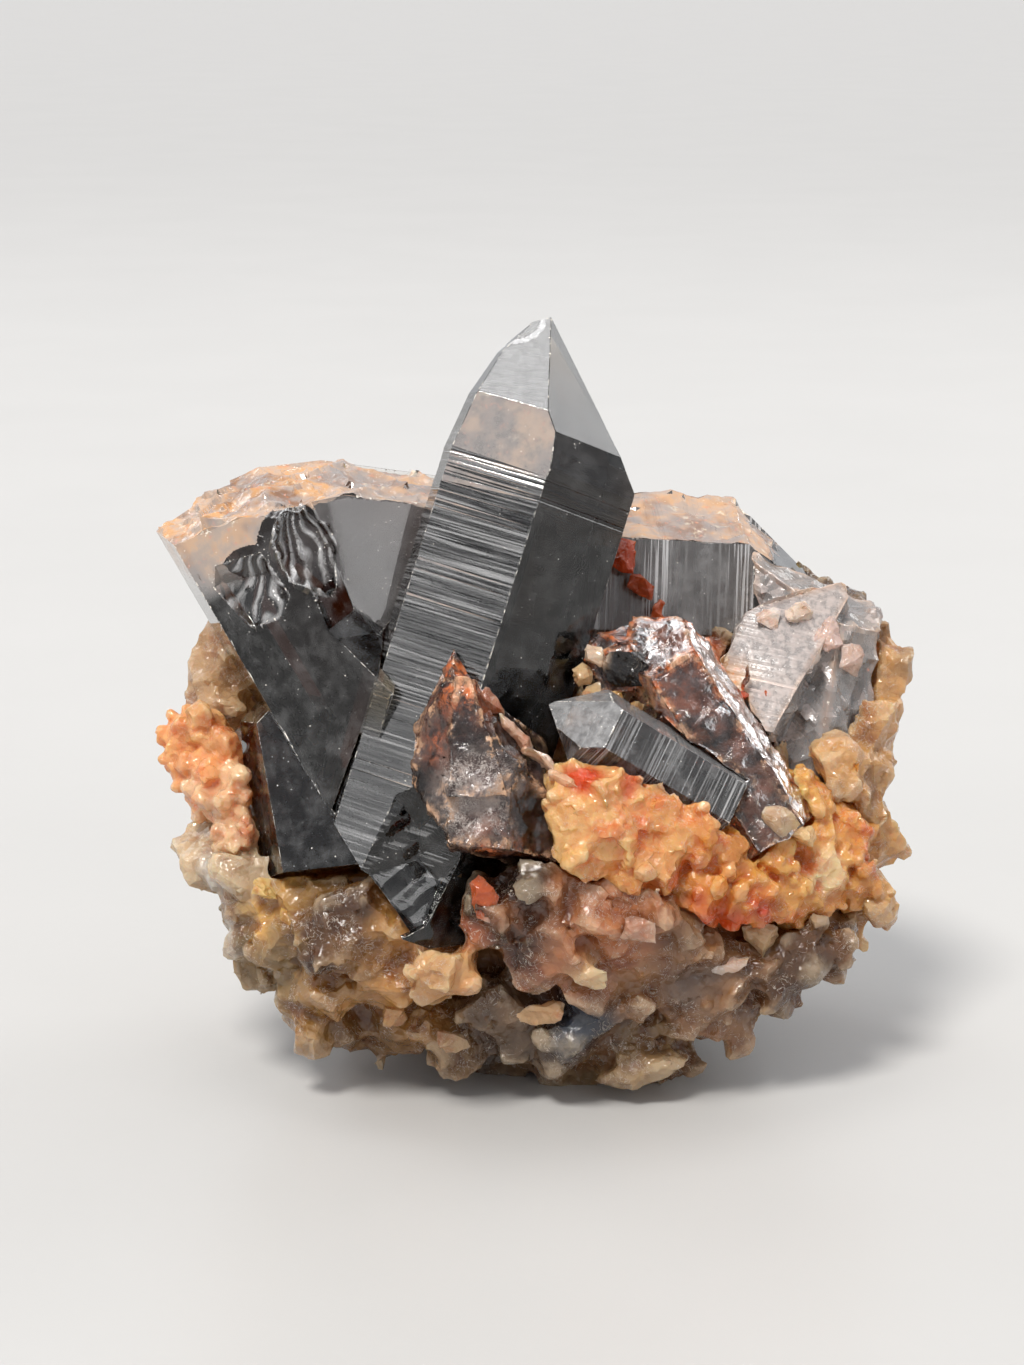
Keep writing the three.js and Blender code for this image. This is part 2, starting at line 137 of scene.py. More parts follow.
def mesh_object(name, bm, collection=None):
    """A Blender object from a bmesh in millimetres. The bmesh is freed."""
    bmesh.ops.recalc_face_normals(bm, faces=bm.faces)
    mesh = bpy.data.meshes.new(name)
    bm.to_mesh(mesh)
    bm.free()
    made = bpy.data.objects.new(name, mesh)
    (collection or bpy.context.scene.collection).objects.link(made)
    return made


def finished(name, bm, material, slot, *nodes):
    """The piece in metres, with its material, riding on the body in place of its CAD nodes."""
    bmesh.ops.scale(bm, vec=Vector((MM, MM, MM)), verts=bm.verts)
    piece = mesh_object(name, bm)
    piece.data.materials.append(material)
    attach(piece, BODY)
    if nodes:
        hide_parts(*nodes)
    return piece


def soften_edges(bm, width):
    """Narrow bevels along the sharp edges, which catch the light as on a real crystal."""
    edges = [
        edge
        for edge in bm.edges
        if edge.is_manifold and edge.calc_face_angle(0) > BEVELLED
    ]
    bmesh.ops.bevel(
        bm,
        geom=edges,
        offset=width,
        segments=2,
        profile=0.5,
        affect="EDGES",
        clamp_overlap=True,
    )
    bmesh.ops.triangulate(bm, faces=bm.faces)


def refine(bm, longest):
    """Splits edges until none is longer than longest(middle), in millimetres."""
    bmesh.ops.triangulate(bm, faces=[face for face in bm.faces if len(face.verts) > 3])
    for _ in range(9):
        long_edges = [
            edge
            for edge in bm.edges
            if edge.calc_length() > longest((edge.verts[0].co + edge.verts[1].co) / 2)
        ]
        if not long_edges:
            break
        bmesh.ops.subdivide_edges(bm, edges=long_edges, cuts=1)
        bmesh.ops.triangulate(bm, faces=[face for face in bm.faces if len(face.verts) > 3])


def displace(bm, height):
    """Moves each vertex along its normal by height(place, normal), in millimetres."""
    bm.normal_update()
    moves = [vert.normal * height(vert.co, vert.normal) for vert in bm.verts]
    for vert, move in zip(bm.verts, moves):
        vert.co += move


def evaluated(piece):
    """The mesh of an object after its modifiers, as a bmesh. The object is deleted."""
    depsgraph = bpy.context.evaluated_depsgraph_get()
    result = bmesh.new()
    result.from_mesh(piece.evaluated_get(depsgraph).to_mesh())
    bpy.data.meshes.remove(piece.data)
    return result


def rounded(name, bm, voxel):
    """The same body with worn edges: remeshed in even faces, smoothed, and swollen back."""
    whole = mesh_object(name, bm)
    remesh = whole.modifiers.new("remesh", "REMESH")
    remesh.mode = "VOXEL"
    remesh.voxel_size = voxel
    result = evaluated(whole)
    every_way = {"use_axis_x": True, "use_axis_y": True, "use_axis_z": True}
    bmesh.ops.smooth_vert(result, verts=result.verts, factor=0.5, **every_way)
    result.normal_update()
    for vert in result.verts:
        vert.co += vert.normal * WORN
    return result


def faceted(name, bm, share):
    """The same body with only a share of its faces, which leaves flat facets of uneven shape."""
    bmesh.ops.triangulate(bm, faces=bm.faces)
    whole = mesh_object(name, bm)
    decimate = whole.modifiers.new("decimate", "DECIMATE")
    decimate.ratio = share
    return evaluated(whole)


def stand_flat(bm):
    """Flattens what comes near the ground, so that the part rests on a flat foot."""
    for vert in bm.verts:
        if vert.co.z < FOOT_HEIGHT:
            vert.co.z = 0.0


def paint_ridges(piece):
    """Stores how far each vertex stands out: below 0 in a crevice, above 0 on an edge. The rock
    materials paint shade into the crevices and highlights onto the crests from it.
    """
    bm = bmesh.new()
    bm.from_mesh(piece.data)
    bm.normal_update()
    neighbours = [[edge.other_vert(vert).index for edge in vert.link_edges] for vert in bm.verts]
    values = []
    for vert in bm.verts:
        middle = Vector()
        for edge in vert.link_edges:
            middle += edge.other_vert(vert).co
        middle /= max(1, len(vert.link_edges))
        values.append(vert.normal.dot(vert.co - middle) / MM / RIDGE_SIZE)
    bm.free()
    for _ in range(3):
        values = [
            0.4 * value + 0.6 * sum(values[i] for i in around) / max(1, len(around))
            for value, around in zip(values, neighbours)
        ]
    layer = piece.data.attributes.new("ridge", "FLOAT", "POINT")
    layer.data.foreach_set("value", values)


def near(place, centre, radius):
    """1 at the centre, falling smoothly to 0 at the radius."""
    share = 1 - (place - Vector(centre)).length / radius
    if share <= 0:
        return 0.0
    return share * share * (3 - 2 * share)


def waves(place, size, seed=0.0):
    """Smooth noise from about -1 to 1 whose humps are size millimetres wide."""
    return noise.noise(place / size + Vector((seed, seed * 0.7, -seed)))


def rubble(place, size, seed=0.0):
    """Rough noise in four layers, the largest size millimetres wide."""
    return noise.fractal(place / size + Vector((seed, -seed, seed * 0.3)), 1.0, 2.1, 4)


def broken(place, size):
    """Tilted hollows about size millimetres wide that meet in sharp ridges, as on broken quartz."""
    spot = place / size
    heights = []
    for point in noise.voronoi(spot)[1]:
        away = spot - point
        heights.append(away.dot(noise.noise_vector(point * 5.3)) + 0.55 * away.length_squared)
    return size * (min(heights) - 0.12)


def striate(bm, axis, steps, weight):
    """Growth steps across the prism faces of a crystal.

    steps are (height along the axis, width, depth) of each step. weight(normal) says how
    strongly a face shows them.
    """
    profile = [(-BEYOND, 0.0)]
    for start, width, depth in sorted(steps):
        profile.append((start, 0.0))
        profile.append((start + width, depth))
    profile.append((BEYOND, 0.0))
    for height, _ in profile[1:-1]:
        bmesh.ops.bisect_plane(
            bm,
            geom=list(bm.verts) + list(bm.edges) + list(bm.faces),
            dist=1e-5,
            plane_co=axis * height,
            plane_no=axis,
        )

    def depth_at(height):
        for (low, first), (high, second) in zip(profile, profile[1:]):
            if low <= height <= high:
                return first + (second - first) * (height - low) / (high - low)
        return 0.0

    bm.normal_update()
    moves = {}
    for vert in bm.verts:
        depth = depth_at(vert.co.dot(axis))
        if not depth:
            continue
        normals = []
        for face in vert.link_faces:
            if abs(face.normal.dot(axis)) < 0.27 and weight(face.normal) > 0:
                if all(face.normal.dot(other) < 0.99 for other in normals):
                    normals.append(face.normal.copy())
        if len(normals) == 1:
            moves[vert] = normals[0] * (-depth * weight(normals[0]))
        elif len(normals) == 2:
            strength = min(weight(normals[0]), weight(normals[1]))
            spread = 1 + max(-0.5, normals[0].dot(normals[1]))
            moves[vert] = (normals[0] + normals[1]) * (-depth * strength / spread)
    for vert, move in moves.items():
        vert.co += move


def growth_steps(rng, low, high, closest, widest, depth):
    """Steps between two heights, at uneven distances, a few of them wide and deep."""
    steps = []
    height = low
    while height < high:
        wide = 2.4 if rng.random() < 0.12 else 1.0
        width = rng.uniform(0.07, 0.15) * wide
        steps.append((height, width, depth * wide * rng.uniform(0.25, 1.0)))
        height += width + rng.uniform(closest, widest) * (0.3 + 1.3 * rng.random() ** 2)
    return steps


def paint(piece, **masks):
    """Stores strength(place, normal) of each face under each name, for the material to read."""
    mesh = piece.data
    for name, strength in masks.items():
        layer = mesh.attributes.new(name, "FLOAT", "CORNER")
        values = [0.0] * len(mesh.loops)
        for face in mesh.polygons:
            value = strength(face.center / MM, face.normal)
            for corner in face.loop_indices:
                values[corner] = value
        layer.data.foreach_set("value", values)


def edge_nearness(bm):
    """A search tree of points along the sharp outer edges of a bmesh, for painting its margins."""
    points = []
    for edge in bm.edges:
        if edge.is_manifold and edge.calc_face_angle(0) > SHARP and edge.is_convex:
            first, second = (vert.co for vert in edge.verts)
            count = max(2, int(edge.calc_length() / EDGE_SPACING))
            points += [first.lerp(second, step / count) for step in range(count + 1)]
    tree = KDTree(len(points))
    for number, point in enumerate(points):
        tree.insert(point, number)
    tree.balance()
    return tree


def on_bevel(margins):
    """A mask of the narrow bevels along the sharp edges, where dust lies."""
    return lambda place, normal: float(margins.find(place)[2] < EDGE_REACH)


def smooth_where(piece, rough):
    """Shades the broken parts smooth and leaves the crystal faces flat."""
    for face in piece.data.polygons:
        face.use_smooth = rough(face.center / MM, face.normal) > 0


# Grains


def unit_grains(rng, count, corners, square):
    """Convex bodies about one unit in radius, as lists of corners; square makes them blocky."""
    shapes = []
    for _ in range(count):
        points = []
        for _ in range(corners):
            point = Vector((rng.gauss(0, 1), rng.gauss(0, 1), rng.gauss(0, 1))).normalized()
            largest = max(abs(value) for value in point)
            points.append(point.lerp(point / largest * 0.8, square))
        shapes.append(points)
    return shapes


def prism_grain(rng):
    """A short quartz crystal with a six-sided point."""
    flat = rng.uniform(0.55, 0.75)
    points = []
    for step in range(6):
        angle = math.radians(60 * step) + rng.uniform(-0.12, 0.12)
        side = Vector((math.cos(angle), math.sin(angle), 0)) * flat
        points.append(side - UP * 1.1)
        points.append(side + UP * rng.uniform(0.15, 0.45))
    points.append(Vector((rng.uniform(-0.1, 0.1), rng.uniform(-0.1, 0.1), 1.15)))
    return points


class Grain:
    """One grain: its place and radius, its corners, and the tint it has been given."""

    def __init__(self, centre, radius, corners, tint):
        self.centre = centre
        self.radius = radius
        self.corners = corners
        self.tint = tint


def turned_towards(rng, normal):
    """A turn that points +Z about along the normal, with a random twist."""
    lean = Vector((rng.gauss(0, 1), rng.gauss(0, 1), rng.gauss(0, 1))) * LEAN
    pointing = (normal + lean).normalized()
    twist = Matrix.Rotation(rng.uniform(0, math.tau), 3, "Z")
    return pointing.to_track_quat("Z", "Y").to_matrix() @ twist


def surface_points(bm, rng, per_mm2):
    """Random points on a surface with the normals there, per_mm2(place, normal) of them a mm2."""
    bmesh.ops.triangulate(bm, faces=bm.faces)
    bm.normal_update()
    for face in bm.faces:
        a, b, c = (vert.co for vert in face.verts)
        wanted = face.calc_area() * per_mm2(face.calc_center_median(), face.normal)
        count = int(wanted) + (rng.random() < wanted - int(wanted))
        for _ in range(count):
            u, v = sorted((rng.random(), rng.random()))
            yield a * u + b * (v - u) + c * (1 - v), face.normal.copy()


def scatter(bm, rng, shapes, per_mm2, size, blocked, sink):
    """Grains over the surface of bm.

    size(place) is the usual radius, blocked(place, normal, radius) leaves a grain out, and sink
    is the share of the radius that lies under the surface.
    """
    grains = []
    for place, normal in surface_points(bm, rng, per_mm2):
        radius = size(place) * math.exp(rng.gauss(0, 0.32))
        if blocked(place, normal, radius):
            continue
        turn = turned_towards(rng, normal)
        scale = Vector([radius * rng.uniform(1 - STRETCH, 1 + STRETCH) for _ in range(3)])
        centre = place - normal * radius * rng.uniform(sink - 0.15, sink + 0.3)
        corners = [
            centre + turn @ Vector((p.x * scale.x, p.y * scale.y, p.z * scale.z))
            for p in rng.choice(shapes)
        ]
        grains.append(Grain(centre, radius, corners, None))
    return grains


def grown_together(name, base, grains, low, high):
    """One closed bmesh of the base and its grains, kept between the corners low and high."""
    group = bpy.data.collections.new(name)
    for number, grain in enumerate(grains):
        bm = bmesh.new()
        for corner in grain.corners:
            bm.verts.new([min(max(corner[i], low[i]), high[i]) for i in range(3)])
        hull = bmesh.ops.convex_hull(bm, input=bm.verts)
        loose = [item for item in hull["geom_interior"] if isinstance(item, bmesh.types.BMVert)]
        bmesh.ops.delete(bm, geom=loose, context="VERTS")
        mesh_object(f"{name}_{number}", bm, group)
    bmesh.ops.triangulate(base, faces=base.faces)
    whole = mesh_object(name, base)
    union = whole.modifiers.new("union", "BOOLEAN")
    union.operation = "UNION"
    union.operand_type = "COLLECTION"
    union.collection = group
    union.solver = "MANIFOLD"
    result = evaluated(whole)
    for item in list(group.objects):
        bpy.data.meshes.remove(item.data)
    bpy.data.collections.remove(group)
    return result


def paint_tints(piece, grains, base_tint):
    """Each vertex takes the tint of the grain that it is on, or base_tint(place) between grains."""
    tree = KDTree(len(grains))
    for number, grain in enumerate(grains):
        tree.insert(grain.centre, number)
    tree.balance()
    tints = []
    for vert in piece.data.vertices:
        place = vert.co / MM
        best, tint = 1.3, None
        for _, number, distance in tree.find_n(place, 14):
            share = distance / grains[number].radius
            if share < best:
                best, tint = share, grains[number].tint
        tints.append(Vector((tint or base_tint(place))[:3]))
    bm = bmesh.new()
    bm.from_mesh(piece.data)
    neighbours = [[edge.other_vert(vert).index for edge in vert.link_edges] for vert in bm.verts]
    bm.free()
    for _ in range(2):
        tints = [
            (tint + sum((tints[i] for i in around), Vector())) / (1 + len(around))
            for tint, around in zip(tints, neighbours)
        ]
    layer = piece.data.attributes.new("tint", "FLOAT_COLOR", "POINT")
    layer.data.foreach_set("color", [value for tint in tints for value in (*tint, 1.0)])


# Materials


class Graph:
    """Builds the nodes of one material."""

    def __init__(self, name):
        self.material = bpy.data.materials.new(name)
        self.material.use_nodes = True
        self.tree = self.material.node_tree
        self.tree.nodes.clear()
        self.output = self.tree.nodes.new("ShaderNodeOutputMaterial")
        coordinates = self.tree.nodes.new("ShaderNodeTexCoord")
        # Object coordinates in millimetres
        self.place = self.vector("SCALE", coordinates.outputs["Object"], Scale=1 / MM)

    def node(self, kind, settings=None, **inputs):
        made = self.tree.nodes.new("ShaderNode" + kind)
        for name, value in (settings or {}).items():
            setattr(made, name, value)
        for name, value in inputs.items():
            self.feed(made.inputs[name.replace("_", " ")], value)
        return made

    def feed(self, socket, value):
        if isinstance(value, bpy.types.NodeSocket):
            self.tree.links.new(value, socket)
        else:
            socket.default_value = value

    def math(self, operation, first, second=0.0, clamp=False):
        made = self.node("Math", {"operation": operation, "use_clamp": clamp})
        self.feed(made.inputs[0], first)
        self.feed(made.inputs[1], second)
        return made.outputs[0]

    def times(self, first, second):
        return self.math("MULTIPLY", first, second)

    def most(self, *values):
        """The largest of the values."""
        largest = values[0]
        for value in values[1:]:
            largest = self.math("MAXIMUM", largest, value)
        return largest

    def vector(self, operation, first, second=None, Scale=None):
        made = self.node("VectorMath", {"operation": operation})
        self.feed(made.inputs[0], first)
        if second is not None:
            self.feed(made.inputs[1], second)
        if Scale is not None:
            self.feed(made.inputs["Scale"], Scale)
        return made.outputs["Value" if operation == "DOT_PRODUCT" else "Vector"]

    def along(self, axis, across, stretch):
        """Coordinates in a crystal's own frame, scaled by stretch: sideways, outwards, along it."""
        right = across.cross(axis).normalized()
        parts = [self.vector("DOT_PRODUCT", self.place, tuple(v)) for v in (right, across, axis)]
        made = self.node("CombineXYZ", None, X=parts[0], Y=parts[1], Z=parts[2])
        return self.vector("MULTIPLY", made.outputs[0], stretch)

    def noise(self, scale, detail=3.0, rough=0.55, vector=None, distortion=0.0):
        made = self.node(
            "TexNoise", None, Vector=vector or self.place, Scale=scale, Detail=detail,
            Roughness=rough, Distortion=distortion,
        )
        return made.outputs["Fac"]

    def cells(self, scale, feature="F1", output="Distance"):
        made = self.node("TexVoronoi", {"feature": feature}, Vector=self.place, Scale=scale)
        return made.outputs[output]

    def between(self, value, low, high, first=0.0, second=1.0):
        """Maps low to first and high to second, with a smooth start and end."""
        made = self.node("MapRange", {"interpolation_type": "SMOOTHSTEP"})
        for number, item in enumerate((value, low, high, first, second)):
            self.feed(made.inputs[number], item)
        return made.outputs[0]

    def blend(self, share, first, second, how="MIX"):
        """The second colour over the first, in the given share."""
        made = self.node("Mix", {"data_type": "RGBA", "blend_type": how})
        self.feed(made.inputs[0], share)
        self.feed(made.inputs[6], first)
        self.feed(made.inputs[7], second)
        return made.outputs[2]

    def painted(self, name, output="Fac"):
        """A mask or tint that was stored on the mesh."""
        return self.node("Attribute", {"attribute_name": name}).outputs[output]

    def bump(self, height, depth, normal=None):
        """A bump of so many millimetres."""
        made = self.node("Bump", None, Height=height, Strength=1.0, Distance=depth * MM)
        if normal is not None:
            self.feed(made.inputs["Normal"], normal)
        return made.outputs[0]

    def facets(self, scale, tilt, normal):
        """Tilts the surface differently in each small cell, as on crumpled crystal."""
        colour = self.cells(scale, output="Color")
        centred = self.vector("SUBTRACT", colour, (0.5, 0.5, 0.5))
        lean = self.vector("SCALE", centred, Scale=tilt)
        return self.vector("NORMALIZE", self.vector("ADD", normal, lean))

    def quartz(self, tone, rough, cover, normal, per_mm):
        """Clear quartz, less clear where it is covered, with the absorption of each millimetre."""
        shader = self.node(
            "BsdfPrincipled",
            None,
            Base_Color=tone,
            Roughness=rough,
            Transmission_Weight=self.math("SUBTRACT", 1.0, cover, clamp=True),
            Normal=normal,
        )
        shader.inputs["IOR"].default_value = QUARTZ_IOR
        return self.finish(shader.outputs[0], absorbing(self, per_mm))

    def finish(self, shader, volume=None):
        self.feed(self.output.inputs["Surface"], shader)
        if volume is not None:
            self.feed(self.output.inputs["Volume"], volume)
        return self.material


def absorbing(graph, per_mm):
    """Volume absorption that takes the given red, green and blue shares off each millimetre."""
    density = max(per_mm) / MM * 1.1
    colour = [1 - value / MM / density for value in per_mm]
    made = graph.node("VolumeAbsorption")
    made.inputs["Color"].default_value = (*colour, 1.0)
    made.inputs["Density"].default_value = density
    return made.outputs[0]


def specks(graph, scale, share, size):
    """Small round specks of dust, on a share of the cells of a grid."""
    near_speck = graph.between(graph.cells(scale), size * 0.5, size, 1.0, 0.0)
    chosen = graph.node("SeparateColor", None, Color=graph.cells(scale, output="Color"))
    return graph.times(near_speck, graph.math("LESS_THAN", chosen.outputs[0], share))


def threads(graph, wander, width):
    """Thin lines that wind where a noise passes its middle."""
    away = graph.math("ABSOLUTE", graph.math("SUBTRACT", wander, 0.5))
    return graph.between(away, 0.0, width, 1.0, 0.0)


def smoky_quartz(name, axis, across, per_mm, lines, dust, haze, streak_film_and_highlight=0.0, mist=0.0,
                 film_and_highlight_tone=(214, 214, 216), fineness=4.2):
    """Clear dark quartz. The mesh says where it is striated, frosted or painted with a highlight,
    stained or worn at an edge.

    lines is the depth of the finest growth lines in millimetres, dust the share of places with a
    speck, haze a patchy frosted coat over the faces, streak_film_and_highlight a coat in streaks
    across the long axis that paints the highlights of the growth lines as well as a frosting, mist
    an even coat, and fineness the growth lines on each millimetre.
    """
    graph = Graph(name)
    striae = graph.painted("striae")
    frost = graph.painted("frost")
    stain = graph.painted("stain")
    edge = graph.painted("edge")
    patchy = graph.noise(0.42, 4.0, 0.66)
    fine_patchy = graph.noise(1.4, 3.0, 0.65)

    streaks = graph.noise(1.0, 1.6, 0.6, graph.along(axis, across, (0.07, 0.07, fineness)))
    bands = graph.noise(1.0, 1.0, 0.5, graph.along(axis, across, (0.04, 0.04, 0.3)))
    normal = graph.bump(graph.times(streaks, striae), lines)
    normal = graph.bump(graph.times(fine_patchy, frost), 0.045, normal)

    small = graph.times(specks(graph, 2.6, dust, 0.17), graph.between(patchy, 0.46, 0.62))
    flecks = specks(graph, 0.9, dust * 0.7, 0.07)
    beads = graph.times(edge, graph.between(graph.noise(2.4, 2.0, 0.7), 0.5, 0.58, 0.1, 0.9))
    dusty = graph.most(small, flecks, beads)

    clay = graph.times(stain, graph.between(patchy, 0.36, 0.6, 0.65, 1.0))
    streaky = graph.times(graph.between(streaks, 0.45, 0.66), striae)
    streaky = graph.times(streaky, graph.between(bands, 0.4, 0.6, 0.25, 1.0))
    # Painted highlight: this pale coat is frosting in part, and in part paints highlights: the
    # bright flutes of chips, the highlights along the growth lines in streaks, the sheen on the
    # right crystals' pale face and the bright upward faces of the small dark crystal.
    film_and_highlight = graph.most(
        graph.times(frost, graph.between(fine_patchy, 0.36, 0.6, 0.65, 1.0)),
        graph.between(patchy, 0.4, 0.72, mist, max(haze, mist)),
        graph.times(streaky, streak_film_and_highlight),
    )

    tan_brown = graph.between(graph.noise(0.16, 3.0, 0.6), 0.42, 0.6)
    stain_tone = graph.blend(tan_brown, srgb(206, 150, 88), srgb(128, 82, 42))
    orange = graph.between(fine_patchy, 0.58, 0.68, 0.0, 0.65)
    stain_tone = graph.blend(orange, stain_tone, srgb(216, 116, 48))
    veins = graph.between(graph.noise(0.5, 5.0, 0.7), 0.58, 0.68, 0.0, 0.85)
    stain_tone = graph.blend(veins, stain_tone, CREAM)
    tone = graph.blend(film_and_highlight, (1, 1, 1, 1), srgb(*film_and_highlight_tone))
    tone = graph.blend(clay, tone, stain_tone)
    tone = graph.blend(dusty, tone, PALE_DUST)

    cover = graph.most(graph.times(clay, 0.88), graph.times(film_and_highlight, 0.7), dusty)
    rough = graph.most(graph.times(clay, 0.2), graph.times(film_and_highlight, 0.3), graph.times(dusty, 0.8))
    rough = graph.math("ADD", rough, graph.between(patchy, 0.4, 0.75, 0.012, 0.06))
    return graph.quartz(tone, rough, cover, normal, per_mm)


def frosted_quartz(name, per_mm):
    """Violet-brown quartz with a pitted, scratched skin, orange stains and beige margins."""
    graph = Graph(name)
    stain = graph.painted("stain")
    rim = graph.painted("rim")
    frost = graph.painted("frost")

    web = graph.most(
        threads(graph, graph.noise(0.55, 4.0, 0.65, None, 1.0), 0.018),
        threads(graph, graph.noise(1.5, 4.0, 0.65, None, 1.0), 0.035),
    )
    web = graph.times(web, graph.math("ADD", frost, 0.15, clamp=True))
    web = graph.times(web, graph.between(graph.noise(0.35, 4.0), 0.4, 0.6))

    mottled = graph.between(graph.noise(0.2, 4.0), 0.35, 0.65)
    tone = graph.blend(mottled, srgb(58, 42, 38), srgb(104, 82, 78))
    tone = graph.blend(graph.between(graph.noise(0.6, 5.0, 0.7), 0.52, 0.7), tone, srgb(34, 22, 18))
    rime = graph.times(frost, graph.between(graph.noise(0.5, 4.0, 0.7), 0.35, 0.6))
    tone = graph.blend(rime, tone, srgb(170, 154, 146))
    orange_tone = graph.blend(graph.noise(0.5, 3.0), srgb(222, 124, 62), srgb(176, 78, 36))
    spread = graph.times(stain, graph.between(graph.noise(0.55, 5.0, 0.7), 0.38, 0.58))
    tone = graph.blend(spread, tone, orange_tone)
    margin = graph.times(rim, graph.between(graph.noise(0.5, 4.0, 0.7), 0.46, 0.6))
    tone = graph.blend(margin, tone, srgb(222, 176, 138))
    tone = graph.blend(graph.times(web, 0.75), tone, srgb(214, 204, 196))

    cover = graph.most(
        graph.times(spread, 0.85),
        graph.times(margin, 0.8),
        graph.times(web, 0.8),
        graph.times(frost, 0.6),
        graph.between(graph.noise(0.4, 4.0), 0.35, 0.7, 0.08, 0.5),
    )
    rough = graph.between(graph.noise(0.9, 3.0), 0.3, 0.7, 0.05, 0.22)
    normal = graph.bump(graph.cells(1.4, "SMOOTH_F1"), 0.1)
    normal = graph.bump(graph.noise(2.2, 3.0, 0.6), 0.12, normal)
    normal = graph.facets(1.1, 0.3, normal)
    return graph.quartz(tone, rough, cover, normal, per_mm)


def granular(name, glow, clear, per_mm, roughness, shade_and_patch_tone, crest_highlight_tone, web_share):
    """Wet translucent rock. Each grain's tint and how far it stands out come with the mesh.

    glow is the share of light scattered under the surface, clear the share let through, and
    web_share the strength of the pale threads in it, which are painted highlights. The two tones
    are painted shade, multiplied into the crevices and random patches, and a painted highlight
    over the crests.
    """
    graph = Graph(name)
    tint = graph.painted("tint", "Color")
    ridge = graph.painted("ridge")
    patch = graph.noise(0.3, 3.0, 0.6)
    wander = graph.noise(0.9, 3.0, 0.65)

    # Painted shade: in the crevices, where the ridge value is below 0, the tone is multiplied
    # darker, and so it is in random patches.
    hollow = graph.between(ridge, -1.0, 0.0, 0.6, 0.0)
    shade_and_patches = graph.most(hollow, graph.between(patch, 0.48, 0.7, 0.0, 0.7))
    tone = graph.blend(shade_and_patches, tint, shade_and_patch_tone, "MULTIPLY")
    # Painted highlight: the crests, where the ridge value is high, are lightened towards a pale
    # tone.
    uneven = graph.math("ADD", ridge, graph.math("SUBTRACT", wander, 0.5))
    tone = graph.blend(graph.times(graph.between(uneven, 0.3, 1.3), 0.35), tone, crest_highlight_tone)
    # Painted highlight: a web of pale threads stands for the white highlights of crumpled wet
    # grains.
    web = threads(graph, graph.noise(0.85, 3.0, 0.6, None, 1.2), 0.02)
    web = graph.times(web, graph.between(patch, 0.44, 0.56))
    web = graph.times(web, web_share)
    tone = graph.blend(web, tone, srgb(250, 238, 222))

    wet = graph.between(wander, 0.4, 0.7, roughness[0], roughness[1])
    height = graph.math("ADD", graph.noise(1.5, 3.0, 0.62), graph.times(web, 0.3))
    normal = graph.facets(1.5, 0.42, graph.bump(height, 0.16))
    shader = graph.node("BsdfPrincipled", None, Base_Color=tone, Roughness=wet, Normal=normal)
    shader.inputs["IOR"].default_value = QUARTZ_IOR
    shader.inputs["Transmission Weight"].default_value = clear
    shader.inputs["Subsurface Weight"].default_value = glow
    shader.inputs["Subsurface Radius"].default_value = (1.6, 1.15, 0.75)
    shader.inputs["Subsurface Scale"].default_value = MM
    return graph.finish(shader.outputs[0], absorbing(graph, per_mm))


def pale_floor():
    graph = Graph("pale_floor")
    tone = graph.blend(graph.noise(0.02, 3.0), srgb(178, 177, 175), srgb(184, 183, 181))
    normal = graph.bump(graph.noise(0.6, 3.0), 0.02)
    shader = graph.node("BsdfPrincipled", None, Base_Color=tone, Normal=normal)
    shader.inputs["Roughness"].default_value = 0.38
    return graph.finish(shader.outputs[0])


# Crystals


def build_main_point():
    """The tall striated point in the middle, with a rippled hollow low on its left."""
    rng = random.Random(11)
    bm = node_copy("main_point")
    # The normals of its faces
    striated = Vector((-0.292, -0.902, 0.318))
    plain = Vector((0.642, -0.767, -0.015))
    matte = Vector((-0.246, -0.859, 0.448))
    band = Vector((0.696, -0.685, 0.217))
    left_cap = Vector((-0.07, -0.61, 0.79)).normalized()
    hollow = (-11.5, -25.0, 28.6)
    lowest, shoulder, top = 22, 49.4, 53.4
    steps = growth_steps(rng, lowest, shoulder, 0.5, 2.6, 0.014)
    steps += growth_steps(rng, shoulder + 0.5, top, 0.1, 0.5, 0.05)

    def on_matte(normal):
        return normal.dot(matte) > 0.996

    def weight(normal):
        if on_matte(normal):
            return 0.0
        if normal.dot(striated) > 0.99 or normal.dot(band) > 0.99:
            return 1.0
        return 0.25 if normal.dot(plain) > 0.95 else 0.5

    margins = edge_nearness(bm)
    striate(bm, MAIN_AXIS, steps, weight)
    soften_edges(bm, 0.1)
    tip = max((vert.co for vert in bm.verts), key=lambda place: place.z).copy()

    def longest(place):
        if near(place, tip, 5.5) > 0:
            return 0.3
        return 0.55 if near(place, hollow, 13) > 0 else 2.5

    refine(bm, longest)

    def in_hollow(place, normal):
        return near(place, hollow, 11.5) * (1 if abs(normal.dot(striated)) < 0.97 else 0)

    def height(place, normal):
        share = in_hollow(place, normal)
        if not share:
            return 0.0
        shell = (place - Vector((-16, -24, 34))).length
        ripple = math.sin(shell * 2.6 + 2 * waves(place, 5))
        return share * (0.28 * ripple + 0.3 * broken(place, 3.4))

    displace(bm, height)
    material = smoky_quartz(
        "main_quartz", MAIN_AXIS, striated, (0.42, 0.5, 0.66), 0.016, 0.14, 0.05, 0.34
    )
    piece = finished("main_point_quartz", bm, material, "smoky_quartz", "main_point")

    def crescent(place):
        """The bright rim of the small chip to the left of the tip."""
        away = (place - tip - Vector((-3.4, 0, -0.4))).length
        return 1.0 if 2.5 < away < 3.1 and place.x < tip.x - 0.5 else 0.0

    def lined(place, normal):
        if abs(normal.dot(MAIN_AXIS)) > 0.3 or on_matte(normal):
            return 0.0
        return 0.04 if normal.dot(plain) > 0.95 else 1.0

    def matted(place, normal):
        if on_matte(normal):
            return 0.35
        return max(crescent(place), 0.3 if normal.dot(left_cap) > 0.98 else 0.0)

    def stained(place, normal):
        return 0.5 if on_matte(normal) else 0.0

    paint(piece, edge=on_bevel(margins), striae=lined, frost=matted, stain=stained)
    smooth_where(piece, in_hollow)


